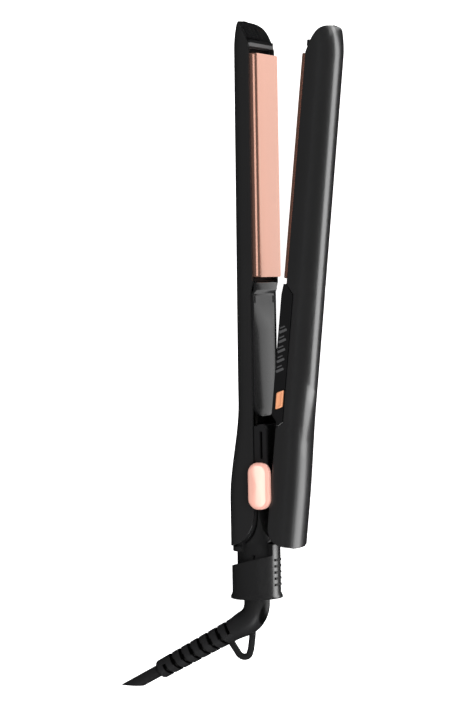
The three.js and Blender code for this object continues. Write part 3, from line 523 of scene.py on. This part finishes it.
LOOKS = {
    "shell_black": look("satin_black", (0.0128, 0.0128, 0.0131), 0.36, coat=0.8,
                        coat_roughness=0.17, coat_ior=1.6, specular=0.3),
    "cover_grey": look("satin_grey", (0.014, 0.014, 0.0145), 0.22, spread=0.12),
    "cover_side": look("satin_side", (0.008, 0.008, 0.0083), 0.34),
    "rose_plate": look("rose_plate", (0.86, 0.47, 0.36), 0.2, metallic=0.87, spread=0.03,
                       grain=500.0, stretch=(0.15, 1, 1), bump=0.01),
    "rose_trim": look("rose_trim", (0.94, 0.50, 0.41), 0.16, metallic=0.3, spread=0.03, coat=0.4,
                      coat_roughness=0.05, edge=0.3),
    "button": look("rose_button", (0.86, 0.38, 0.2), 0.3, metallic=0.25, spread=0.03, edge=0.2),
    # heat_black carries a painted highlight: a lighter grey bar on the carrier's end wall.
    "heat_black": look("heat_black", (0.012, 0.012, 0.0125), 0.5, marks=painted_highlight_bar),
    "steel": look("brushed_steel", (0.5, 0.51, 0.53), 0.3, metallic=1.0, stretch=(1, 1, 6)),
    "brass": look("turned_brass", (0.56, 0.37, 0.12), 0.32, metallic=1.0, stretch=(6, 1, 1)),
    "ceramic": look("ceramic", (0.8, 0.77, 0.7), 0.6, grain=1500.0, bump=0.08),
    "silicone": look("silicone", (0.27, 0.045, 0.03), 0.62, bump=0.05),
    "cord_rubber": look("cord_rubber", (0.013, 0.013, 0.0135), 0.4, grain=1800.0, bump=0.06),
    "relief": look("relief_rubber", (0.013, 0.013, 0.0135), 0.4, grain=1800.0, bump=0.06,
                   marks=slot_shade),
    "board": look("board", (0.016, 0.11, 0.045), 0.5, spread=0.2, grain=2500.0),
    "milky": look("milky", (0.062, 0.062, 0.064), 0.45),
    # Painted shade: the lead sleeves are coloured near black, so where they show between the cover's
    # end and the yoke they read as the shade there.
    "lead_sleeve": look("lead_sleeve", (0.03, 0.028, 0.026), 0.75, stretch=(1, 5, 5), bump=0.25),
}


def finish_piece(obj, body, slot, replaces=(), crease=32.0, material=None):
    """Gives a piece its look, rides it on its body and hides the CAD nodes it stands for."""
    obj.data.materials.clear()
    obj.data.materials.append(material or LOOKS[slot])
    obj.data.shade_smooth()
    obj.data.set_sharp_from_angle(angle=math.radians(crease))
    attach(obj, body)
    if replaces:
        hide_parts(*replaces)


# ---- Shells ----

def tail_wall(arm, name):
    """The closed end of an arm's tail."""
    path = rim_path(arm)
    rings = []
    for along, shrink in ((0.45, 0.5), (0.7, 0.1), (1.7, 0.05), (2.4, 0.05)):
        x = TAIL_X + along
        low = min(np.interp(x, path[:, 0], path[:, 1]), back_at(arm, x) - 0.6) + 0.02
        rings.append(at_x(x, both_halves(half_section(arm, x, shrink, low))))
    return mesh_object(name, *loft(rings), arm)


finish_piece(shell(BASE, "base_shell_skin"), "base_arm", "shell_black", ["base_outer_shell"])
finish_piece(shell(MOVING, "moving_shell_skin"), "moving_arm", "shell_black", ["moving_outer_shell"])
finish_piece(tail_wall(MOVING, "moving_tail_wall"), "moving_arm", "shell_black")


def tip_ribs():
    """Moulded ribs across the hollow of the base arm's tip."""
    pitch, thickness = 4.5, 1.0
    path = rim_path(BASE)
    xs = np.linspace(BASE["tip"] - 9.4, BASE["tip"] - 3.6, 8)
    low = [np.interp(x, path[:, 0], path[:, 1]) + 1.6 for x in xs]
    high = [back_at(BASE, x) - WALL + 0.3 for x in xs]
    outline = [*zip(xs, low), *zip(xs[::-1], high[::-1])]
    for i in range(5):
        z = pitch * (i - 2)
        rib = prism_z(outline, z - thickness / 2, z + thickness / 2, BASE, f"tip_rib_{i + 1}")
        finish_piece(rib, "base_arm", "shell_black")


tip_ribs()


# ---- Heated plates ----

def plate(arm, name, body, node):
    """A plate with rounded edges, and a wider flange behind its face."""
    face = arm["plate_face"]
    levels = []
    for angle in np.radians(np.linspace(90, 0, 6)):
        levels.append((face + PLATE_EDGE * (1 - math.sin(angle)), PLATE_EDGE * (1 - math.cos(angle))))
    levels += [(face + 1.3, 0.0), (face + 2.05, -PLATE_FLANGE), (face + 4.0, -PLATE_FLANGE)]
    rings = []
    for y, inset in levels:
        end_inset = max(inset, 0.0)
        half = PLATE_HALF_WIDTH - inset
        outline = rounded(PLATE_START_X + end_inset, PLATE_END_X - end_inset, -half, half, 0.8, 5)
        rings.append([(x, y, z) for x, z in outline])
    finish_piece(mesh_object(name, *loft(rings), arm), body, "rose_plate", [node], crease=40.0)


plate(BASE, "base_plate_skin", "base_plate", "base_heater_plate")
plate(MOVING, "moving_plate_skin", "moving_plate", "moving_heater_plate")


# ---- Inner handle covers ----

def base_cover():
    """The grey cover behind the plate: a rounded tail, a step up and a lip beside the plate."""
    half = HALF_WIDTH - WALL - 1.1
    face, head = 4.4, 2.6
    thick, edge = 1.8, 0.45
    round_end = BASE_COVER_START_X + BASE_COVER_ROUND
    angles = np.linspace(0.12, math.pi / 2, 14)
    stations = [round_end - BASE_COVER_ROUND * math.cos(angle) for angle in angles]
    stations += [60.0, 80.0, 98.6, 99.5, 100.2, 100.9, 101.3, 101.6, 102.2, 104.7, 105.1, 105.3]
    rings = []
    for x in stations:
        if x < round_end:
            arc = math.sqrt(BASE_COVER_ROUND ** 2 - (round_end - x) ** 2)
            wide = half - BASE_COVER_ROUND + arc
        else:
            wide = np.interp(x, [99.0, 101.0], [half, PLATE_HALF_WIDTH])
        y = np.interp(x, [99.5, 101.5], [face, head]) + 0.9 * max(0.0, x - 105.0)
        lip = [(y + thick, -wide)]
        for angle in np.radians([0, 30, 60, 90]):
            lip.append((y + edge * (1 - math.sin(angle)), -wide + edge * (1 - math.cos(angle))))
        ring = lip + [(a, -b) for a, b in reversed(lip)]
        rings.append([(x, a, b) for a, b in ring])
    obj = mesh_object("base_cover_skin", *loft(rings))
    carve(obj, "DIFFERENCE", *[box(94.8, 98.4, 3.0, 4.9, z - 0.7, z + 0.7) for z in (-10.6, 10.6)])
    finish_piece(obj, "base_arm", "cover_grey", ["base_inner_cover"], crease=38.0)


def button_outline(grow, radius=0.5):
    """The power button's slanting outline, grown by a margin."""
    low, high, half = BUTTON_LOW_Y - grow, BUTTON_HIGH_Y + grow, BUTTON_HALF + grow
    flat = rounded(-half, half, low, high, radius, 4)
    middle = (BUTTON_LOW_Y + BUTTON_HIGH_Y) / 2
    lean = 2 * BUTTON_SLANT / (BUTTON_HIGH_Y - BUTTON_LOW_Y)
    return [(BUTTON_X + x + lean * (y - middle), y) for x, y in flat]


def leaning_bar(centre_x, centre_y, length, width, radius):
    """A rounded bar that leans like the lights do."""
    flat = rounded(-width / 2, width / 2, -length / 2, length / 2, radius, 4)
    c, s = math.cos(LIGHT_PIPE_LEAN), math.sin(LIGHT_PIPE_LEAN)
    return [(centre_x + x * c - y * s, centre_y + x * s + y * c) for x, y in flat]


def light_outline(i, grow=0.0):
    """The outline of one light pipe, grown by a margin."""
    length, width = LIGHT_PIPE_LENGTH + 2 * grow, LIGHT_PIPE_WIDTH + 2 * grow
    return leaning_bar(LIGHT_PIPE_X + LIGHT_PIPE_PITCH * i, LIGHT_PIPE_Y, length, width, 0.45)


def side_z(y, round_start):
    """The moving arm's outer side at y, which curves in past round_start."""
    depth = max(0.0, (y - round_start) / BACK_RADIUS)
    return HALF_WIDTH * (1 - min(depth, 1.0) ** 3) ** (1 / 3)


def cover_ring(x, low, high):
    """One section of the moving arm's cover, whose sides follow the shell's."""
    edge = min(0.7, (high - low) * 0.4)
    round_start = back_at(MOVING, x) - BACK_RADIUS
    side = []
    for angle in np.radians([90, 67, 45, 22, 0]):
        side.append((low + edge * (1 - math.sin(angle)), HALF_WIDTH - edge * (1 - math.cos(angle))))
    for share in (0.3, 0.6, 0.85, 1.0):
        y = low + edge + (high - low - edge) * share
        side.append((y, side_z(y, round_start)))
    side.append((side[-1][0], side[-1][1] - WALL))
    side.append((min(low + 1.8, high - 0.05), HALF_WIDTH - WALL))
    ring = side[::-1] + [(y, -z) for y, z in side]
    return [(x, y, z) for y, z in ring]


def moving_cover():
    """The dark cover with the power button, the lights and the scale."""
    start, end = HANDLE_END_X + 0.4, HANDLE_START_X - 0.1
    tail = start - 2.7
    lows = np.array([
        (tail, 4.6), (start - 0.2, 4.6), (start + 3, 1.8), (end - 5.5, 1.8), (end, 2.6),
    ])
    highs = np.array([(tail, 4.9), (start - 0.1, 8.3), (end - 5.2, 8.3), (end, 4.1)])
    stations = [tail, *[start + step for step in (-1.4, -0.2, -0.1, 0.8, 1.8, 2.8, 3, 3.4)]]
    stations += [50.0, 70.0, 90.0, end - 5.5, end - 5.2, end - 3, end - 1, end]
    rings = []
    for x in stations:
        low = float(np.interp(x, lows[:, 0], lows[:, 1]))
        high = float(np.interp(x, highs[:, 0], highs[:, 1]))
        rings.append(cover_ring(x, low, high))
    obj = mesh_object("moving_cover_skin", *loft(rings), MOVING)
    tools = [prism_z(button_outline(0.4), 12.5, 17.0, MOVING)]
    for i in range(LIGHT_PIPE_COUNT):
        tools.append(prism_z(light_outline(i, grow=0.1), 12.8, 17.0, MOVING))
    carve(obj, "DIFFERENCE", *tools)
    finish_piece(obj, "moving_arm", "cover_grey", ["moving_inner_cover"], 38.0, LOOKS["cover_side"])


base_cover()
moving_cover()


# ---- Controls ----

def power_button():
    """A slanting button with a rounded edge and a dished face."""
    levels = [(0.0, 12.9, 0.5)]
    for angle in np.radians(np.linspace(0, 90, 6)):
        inset = BUTTON_EDGE * (1 - math.cos(angle))
        levels.append((inset, HALF_WIDTH + BUTTON_EDGE * math.sin(angle), 0.5))
    for inset, rise in ((0.75, 0.48), (1.05, 0.28), (1.4, 0.2)):
        levels.append((inset, HALF_WIDTH + rise, 0.3))
    rings = []
    for inset, z, radius in levels:
        rings.append([(x, y, z) for x, y in button_outline(-inset, radius)])
    obj = mesh_object("power_button_skin", *loft(rings), MOVING)
    finish_piece(obj, "power_button", "rose_trim", ["power_button"], 50.0, LOOKS["button"])


def light_pipes():
    for i in range(LIGHT_PIPE_COUNT):
        obj = prism_z(light_outline(i), 12.3, HALF_WIDTH + 0.05, MOVING, f"light_lens_{i + 1}")
        finish_piece(obj, "moving_arm", "milky", [f"light_pipe_{i + 1}"])
        x = LIGHT_PIPE_X + LIGHT_PIPE_PITCH * i + 1.9
        bar = leaning_bar(x, LIGHT_PIPE_Y - 0.4, 3.0, 0.6, 0.2)
        obj = prism_z(bar, HALF_WIDTH - 0.3, HALF_WIDTH + 0.02, MOVING, f"scale_bar_{i + 1}")
        finish_piece(obj, "moving_arm", "milky")


power_button()
light_pipes()


# ---- Hinge caps ----

def hinge_cap(side, name, node):
    """A rose cap over the hinge, with a rounded edge and a slightly domed face."""
    top = CAP_INSIDE + CAP_HEIGHT
    levels = [(CAP_INSIDE, 0.0), (top - CAP_BEVEL, 0.0)]
    for angle in np.radians(np.linspace(10, 90, 9)):
        z = top - CAP_DOME - CAP_BEVEL * (1 - math.sin(angle))
        levels.append((z, CAP_BEVEL * (1 - math.cos(angle))))
    rings = []
    for z, inset in levels:
        long, wide = CAP_LENGTH / 2 - inset, CAP_WIDTH / 2 - inset
        outline = rounded(
            CAP_CENTRE_X - long, CAP_CENTRE_X + long, CAP_CENTRE_Y - wide, CAP_CENTRE_Y + wide,
            wide - 0.6, 14,
        )
        rings.append(np.array([(x, y, side * z) for x, y in outline]))
    middle = np.array([CAP_CENTRE_X, CAP_CENTRE_Y])
    for share in (0.85, 0.7, 0.55, 0.4, 0.25, 0.1):
        ring = rings[len(levels) - 1].copy()
        ring[:, :2] = middle + (ring[:, :2] - middle) * share
        ring[:, 2] = side * (top - CAP_DOME * share ** 2)
        rings.append(ring)
    finish_piece(mesh_object(name, *loft(rings)), "base_arm", "rose_trim", [node], crease=50.0)


hinge_cap(1, "cap_upper_skin", "hinge_cap_upper")
hinge_cap(-1, "cap_lower_skin", "hinge_cap_lower")


# ---- Swivel housing and lock ring ----

def tail_lip():
    """The step at the housing's front, which fills the end of the base arm's shell."""
    rings = []
    for x, inset in ((-32.6, 1.2), (-32.3, 0.9), (-30.05, 0.9), (-30.05, 2.1), (-27.0, 2.1)):
        rings.append(at_x(x, both_halves(half_section(BASE, x, inset, LIP_LOW_Y))))
    return mesh_object("tool", *loft(rings))


def swivel_housing():
    """The neck with its tongue into the base arm, its lip, its index mark and the ring's track."""
    bell = revolve([
        (NECK_END_X, 0), (NECK_END_X, NECK_RADIUS - 0.4), (NECK_END_X + 0.4, NECK_RADIUS),
        (-31, NECK_RADIUS), (-29, 10.05), (-27, 10.6), (-24.5, 11.55), (-22, 12.6), (-19, 13.4),
        (-16, 14), (-9, 14.4), (-9, 0),
    ], 120, "swivel_housing_skin")
    top, bottom = CORD_Y + NECK_RADIUS + 0.3, CORD_Y - NECK_RADIUS - 1
    low_curve = quadratic((-28, bottom), (-22, 3.4), (-9, 3.6), 12)
    high_curve = quadratic((-9, 6.6), (-24.5, 6.8), (TAIL_X - 0.6, top), 12)
    outline = [(NECK_END_X - 1, bottom), *low_curve, *high_curve, (NECK_END_X - 1, top)]
    carve(bell, "INTERSECT", prism_z(outline, -HOUSING_HALF_WIDTH, HOUSING_HALF_WIDTH))
    rim = rim_path(BASE)[1:RIM_STEPS + 2] - 0.1
    groove = [*rim, *(rim[::-1] - 0.9)]  # the seam along the tongue's sides
    for low, high in ((5.0, 15.0), (-15.0, -5.0)):
        carve(bell, "DIFFERENCE", prism_z(groove, low, high))
    core = revolve([
        (NECK_END_X + 0.01, 0), (NECK_END_X + 0.01, CORE_RADIUS), (-12, CORE_RADIUS), (-12, 0),
    ])
    carve(bell, "UNION", core, tail_lip())
    notch = prism_z(
        [(-34.8, CORD_Y - 4), (-38.2, CORD_Y - 3.1), (-34.8, CORD_Y - 2.2)],
        NECK_RADIUS - 2.3, NECK_RADIUS + 1,
    )
    bore = revolve([
        (NECK_END_X - 1, 0), (NECK_END_X - 1, SWIVEL_BORE), (-24, SWIVEL_BORE), (-24, 0),
    ])
    track_half = TAB_WIDTH / 2 + 0.3
    track = box(TAB_X - 1, TAB_X + 4.8, -5, CORD_Y - 8.9, -track_half, track_half)
    carve(bell, "DIFFERENCE", notch, bore, track)
    finish_piece(bell, "base_arm", "shell_black", ["swivel_housing"])


def lock_ring():
    """The sliding ring: a flared end, a slanting front with a tab, and ribs for the thumb."""
    wall = closed_revolve([
        (RING_END_X, RING_LIP_BORE), (RING_END_X, RING_FLARE - 0.3),
        (RING_END_X + 0.1, RING_FLARE - 0.08), (RING_END_X + 0.35, RING_FLARE),
        (RING_END_X + 0.9, RING_FLARE), (RING_END_X + 1.3, RING_FLARE - 0.12),
        (RING_END_X + 2.2, RING_RADIUS + 0.32), (RING_END_X + 3.2, RING_RADIUS),
        (TAB_X - 0.4, RING_RADIUS), (TAB_X, RING_RADIUS - 0.35), (TAB_X, RING_BORE),
        (RING_END_X + 1.4, RING_BORE), (RING_END_X + 1.4, RING_LIP_BORE),
    ], 144, "lock_ring_skin")
    reach = RING_RADIUS + 3
    above = prism_z([
        (RING_LOW_X, CORD_Y + RING_RADIUS), (RING_HIGH_X, CORD_Y - RING_RADIUS),
        (RING_HIGH_X, CORD_Y - reach), (TAB_X + 2, CORD_Y - reach),
        (TAB_X + 2, CORD_Y + reach), (RING_LOW_X, CORD_Y + reach),
    ], -reach, reach)
    tab_half = TAB_WIDTH / 2
    tab = box(RING_HIGH_X - 3, TAB_X + 3, CORD_Y - reach - 1, CORD_Y - 6, -tab_half, tab_half)
    carve(above, "DIFFERENCE", tab)
    carve(wall, "DIFFERENCE", above)
    crown = CORD_Y - RING_RADIUS
    for i in range(RING_MARKS):
        x = RING_MARK_X + RING_MARK_PITCH * i
        carve(wall, "UNION", box(x, x + 1.2, crown - 0.25, crown + 1.2, -3.2, 3.2))
    finish_piece(wall, "lock_ring", "shell_black", ["lock_ring"])


swivel_housing()
lock_ring()


# ---- Strain relief and cord ----

def circle(centre, across, radius, sides):
    """A ring of points in the plane of across and z."""
    turn = np.arange(sides) * 2 * math.pi / sides
    up = np.array([0.0, 0.0, 1.0])
    return centre + radius * (np.cos(turn)[:, None] * across + np.sin(turn)[:, None] * up)


def tube_rings(stops, sides=48):
    """Rings across the centre line for a list of (along, radius)."""
    rings = []
    for along, radius in stops:
        centre, angle = cord_path(along)
        rings.append(circle(centre, np.array([math.sin(angle), math.cos(angle), 0.0]), radius, sides))
    return rings


def slot_tool(along, side):
    """Part of a ring around the relief, from one side to a little past the middle."""
    centre, angle = cord_path(along)
    ahead = np.array([-math.cos(angle), math.sin(angle), 0.0])
    across = np.array([math.sin(angle), math.cos(angle), 0.0]) * -side
    up = np.array([0.0, 0.0, 1.0])
    section = rounded(-1.05, 1.05, SLOT_FLOOR_RADIUS, 8.0, 0.5, 3)
    rings = []
    for turn in np.radians(np.linspace(-106, 106, 21)):
        outward = math.cos(turn) * across + math.sin(turn) * up
        skew = 1.3 * abs(math.sin(turn)) * side
        rings.append([centre + ahead * (u + skew) + outward * r for u, r in section])
    return mesh_object("tool", *loft(rings))


def strain_relief():
    """The elbow out of the neck and the slotted relief after it."""
    root = ELBOW_START_X - RELIEF_ROOT_X
    stops = [(root, 0.01), (root, ELBOW_RADIUS)]
    stops += [(along, ELBOW_RADIUS) for along in np.linspace(-6, BEND_LENGTH, 18)]
    for share in np.linspace(0.15, 1, 6):
        radius = ELBOW_RADIUS + (RELIEF_START_RADIUS - ELBOW_RADIUS) * smoothstep(share, 0, 1)
        stops.append((BEND_LENGTH + RELIEF_PLAIN * share, radius))
    end = BEND_LENGTH + RELIEF_LENGTH
    stops += [(end - 1.2, RELIEF_END_RADIUS), (end - 0.5, RELIEF_END_RADIUS - 0.25)]
    stops += [(end, RELIEF_END_RADIUS - 0.9), (end, 0.01)]
    obj = mesh_object("strain_relief_skin", *loft(tube_rings(stops)))
    first = BEND_LENGTH + RELIEF_PLAIN + 1.8
    tools = []
    for i in range(SLOT_COUNT):
        tools.append(slot_tool(first + SLOT_PITCH * i, -1))
        tools.append(slot_tool(first + SLOT_PITCH * (i + 0.5), 1))
    carve(obj, "DIFFERENCE", *tools)
    finish_piece(obj, "cord_swivel", "cord_rubber", ["strain_relief"], 36.0, LOOKS["relief"])


def smooth_through(values, count):
    """Points on a Hermite curve through evenly spaced values."""
    slopes = np.gradient(values, axis=0)
    at = np.linspace(0, len(values) - 1, count)
    index = np.minimum(at.astype(int), len(values) - 2)
    t = (at - index)[:, None]
    start, end = values[index], values[index + 1]
    start_slope, end_slope = slopes[index], slopes[index + 1]
    return (
        (2 * t ** 3 - 3 * t ** 2 + 1) * start + (t ** 3 - 2 * t ** 2 + t) * start_slope
        + (-2 * t ** 3 + 3 * t ** 2) * end + (t ** 3 - t ** 2) * end_slope
    )


def hanging_loop():
    """The loop beside the relief, from the elbow and back into the slotted part."""
    corner, _ = cord_path(BEND_LENGTH)
    guide = corner + np.array([
        (-1.0, -3.6, 0), (-5.9, -3.4, 0), (-10.1, -2.9, 0), (-14.3, -2.15, 0), (-17.1, -0.9, 0),
        (-18.0, 1.75, 0), (-17.0, 4.25, 0), (-14.7, 6.05, 0), (-12.2, 7.85, 0), (-9.7, 9.7, 0),
        (-6.5, 12.0, 0),
    ])
    curve = smooth_through(guide, 64)
    heading = np.gradient(curve, axis=0)
    heading /= np.linalg.norm(heading, axis=1)[:, None]
    rings = []
    for centre, ahead in zip(curve, heading):
        rings.append(circle(centre, np.array([-ahead[1], ahead[0], 0.0]), LOOP_RADIUS, 20))
    finish_piece(mesh_object("hanging_loop", *loft(rings)), "cord_swivel", "cord_rubber")


def power_cord():
    """A stub of the cord, cut straight where the photo ends."""
    start = BEND_LENGTH + RELIEF_LENGTH - 8.8
    end = start + 60
    stops = [(start, 0.01), (start, CORD_RADIUS), (end, CORD_RADIUS), (end, 0.01)]
    obj = mesh_object("power_cord_skin", *loft(tube_rings(stops, 40)))
    carve(obj, "DIFFERENCE", box(CORD_END_X - 80, CORD_END_X, 0, 200, -20, 20))
    finish_piece(obj, "cord_swivel", "cord_rubber", ["power_cord"])


strain_relief()
hanging_loop()
power_cord()


# ---- CAD nodes that stay as they are ----

slots = {row["node"]: row["material_slot"] for row in frame["record"]["subparts"]}
for node, obj in frame["nodes"].items():
    obj.data.materials.clear()
    obj.data.materials.append(LOOKS[slots[node]])


# ---- Stage ----

def camera_level(nodes, links, elsewhere, seen):
    """One strength for what the camera sees, and another for the light that falls on the iron."""
    path = nodes.new("ShaderNodeLightPath")
    return map_range(nodes, links, path.outputs["Is Camera Ray"], elsewhere, seen)


def floor():
    material = look("pale_floor", (0.9, 0.9, 0.9), 0.8, spread=0.01, grain=20.0, bump=0.0, edge=0.0)
    nodes, links = material.node_tree.nodes, material.node_tree.links
    shader = nodes["Principled BSDF"]
    shader.inputs["Emission Color"].default_value = WHITE
    links.new(camera_level(nodes, links, 0.55, 1.0), shader.inputs["Emission Strength"])
    size = 3.0
    mesh = bpy.data.meshes.new("floor")
    mesh.from_pydata(
        [(-size, -size, 0), (size, -size, 0), (size, size, 0), (-size, size, 0)], [], [(0, 1, 2, 3)],
    )
    mesh.materials.append(material)
    obj = add_object("floor", mesh)
    obj.location.z = -0.6 * MM
    obj.visible_glossy = False


def area_light(name, position, target, size, power, glossy=False, only=()):
    """A soft rectangle. It shows in reflections if glossy is set, and lights all or only some."""
    data = bpy.data.lights.new(name, "AREA")
    data.shape = "RECTANGLE"
    data.size, data.size_y = size
    data.energy = power
    obj = add_object(name, data)
    obj.location = position
    obj.rotation_euler = (Vector(target) - Vector(position)).to_track_quat("-Z", "Y").to_euler()
    obj.visible_glossy = glossy
    obj.visible_camera = False
    if only:
        lit = bpy.data.collections.new(name + "_receivers")
        for piece in only:
            lit.objects.link(bpy.data.objects[piece])
        obj.light_linking.receiver_collection = lit
    return obj


def side_strip(name, along, offset, length, width, power, turn=0.0):
    """A strip lying beside the moving arm, seen as the bright line along its back."""
    x, y, _ = place(MOVING, [(along, MOVING["depth"] + offset, 0)])[0]
    strip = area_light(name, (x, y, 0.002), (x, y, 1.0), (length, width), power, glossy=True)
    strip.rotation_euler = (math.pi, 0, -OPENING + math.radians(turn))


def floor_patch(name, x_range, y_range, radiance, only):
    """Part of the white floor as the named pieces mirror it."""
    length, width = x_range[1] - x_range[0], y_range[1] - y_range[0]
    x, y = sum(x_range) / 2, sum(y_range) / 2
    patch = area_light(
        name, (x, y, 0.0004), (x, y, 1.0), (length, width), radiance * math.pi * length * width,
        glossy=True, only=only,
    )
    patch.rotation_euler = (math.pi, 0, 0)


def world():
    made = bpy.data.worlds.new("studio")
    bpy.context.scene.world = made
    made.use_nodes = True
    nodes, links = made.node_tree.nodes, made.node_tree.links
    background = nodes["Background"]
    background.inputs["Color"].default_value = WHITE
    links.new(camera_level(nodes, links, 0.3, 1.0), background.inputs["Strength"])
    made.cycles_visibility.glossy = False


def camera():
    """Looks down on the iron from the moving arm's side, with its tip up."""
    tilt, roll = math.radians(26), math.radians(1)
    distance = 1.3
    view_height = 0.3629
    toward = Vector((0, -math.sin(tilt), math.cos(tilt)))
    level_right, level_up = Vector((0, -math.cos(tilt), -math.sin(tilt))), Vector((1, 0, 0))
    right = level_right * math.cos(roll) - level_up * math.sin(roll)
    up = level_up * math.cos(roll) + level_right * math.sin(roll)
    middle_x = 0.10794
    shift_right, shift_up = -0.02125, -0.03906
    foot = Vector((middle_x, 0, MID_HEIGHT * MM))
    position = foot + toward * distance
    aim = foot + right * shift_right + up * shift_up
    z = (position - aim).normalized()
    x = up.cross(z).normalized()
    matrix = Matrix((x, z.cross(x), z)).transposed().to_4x4()
    matrix.translation = position
    data = bpy.data.cameras.new("camera")
    data.sensor_fit = "VERTICAL"
    data.sensor_height = 36
    data.lens = data.sensor_height * distance / view_height
    data.clip_start = 0.01
    obj = add_object("camera", data)
    obj.matrix_world = matrix
    bpy.context.scene.camera = obj


floor()
world()
area_light("key", (0.1, -1.1, 0.9), (0.08, 0, 0), (1.2, 0.9), 20)
area_light("left", (-1.0, 0.2, 0.7), (0.08, 0, 0), (0.8, 1.0), 10)
area_light("right", (1.2, 0.1, 0.7), (0.08, 0, 0), (0.8, 1.0), 10)
area_light("cap_glow", (-0.05, 0.35, 0.95), (0, 0, 0.038), (0.60, 0.24), 1.15, glossy=True,
           only=["cap_upper_skin"])
area_light("plate_glow", (0.16, -1.1, 0.55), (0.16, 0, 0.02), (1.0, 0.5), 1.5, glossy=True,
           only=["base_plate_skin"])
area_light("elbow_glow", (-0.80, -0.43, 0.66), (-0.069, 0.010, 0.024), (0.25, 0.25), 1.6,
           glossy=True, only=["strain_relief_skin"])
area_light("tail_glow", (-1.0, 0.2, 0.7), (0.08, 0, 0), (0.8, 1.0), 6, glossy=True,
           only=["base_shell_skin", "moving_shell_skin"])
side_strip("strip_front", 152, 8.0, 0.216, 0.005, 0.009)
side_strip("strip_middle", 34, 13.5, 0.036, 0.011, 0.0029, turn=13.0)
side_strip("strip_tail", -26, 18.0, 0.10, 0.018, 0.0128)
side_strip("strip_soft", -22, 36.0, 0.10, 0.024, 0.0045, turn=8.0)
floor_patch("ring_glow", (-0.056, -0.024), (-0.060, -0.014), 2.1, ["lock_ring_skin"])
floor_patch("neck_glow", (-0.0365, -0.0330), (-0.050, -0.010), 2.0, ["swivel_housing_skin"])
floor_patch("elbow_line", (-0.075, -0.058), (-0.014, -0.004), 2.2, ["strain_relief_skin"])
floor_patch("tip_glow", (0.236, 0.275), (-0.07, 0.03), 0.9, ["moving_shell_skin"])
floor_patch("floor_card", (-0.15, 0.35), (-0.397, 0.003), 1.0, [
    "base_cover_skin", "base_plate_skin", "cap_upper_skin", "cap_lower_skin",
    "power_button_skin", "moving_cover_skin",
])
camera()
bpy.context.scene.view_settings.view_transform = "Standard"
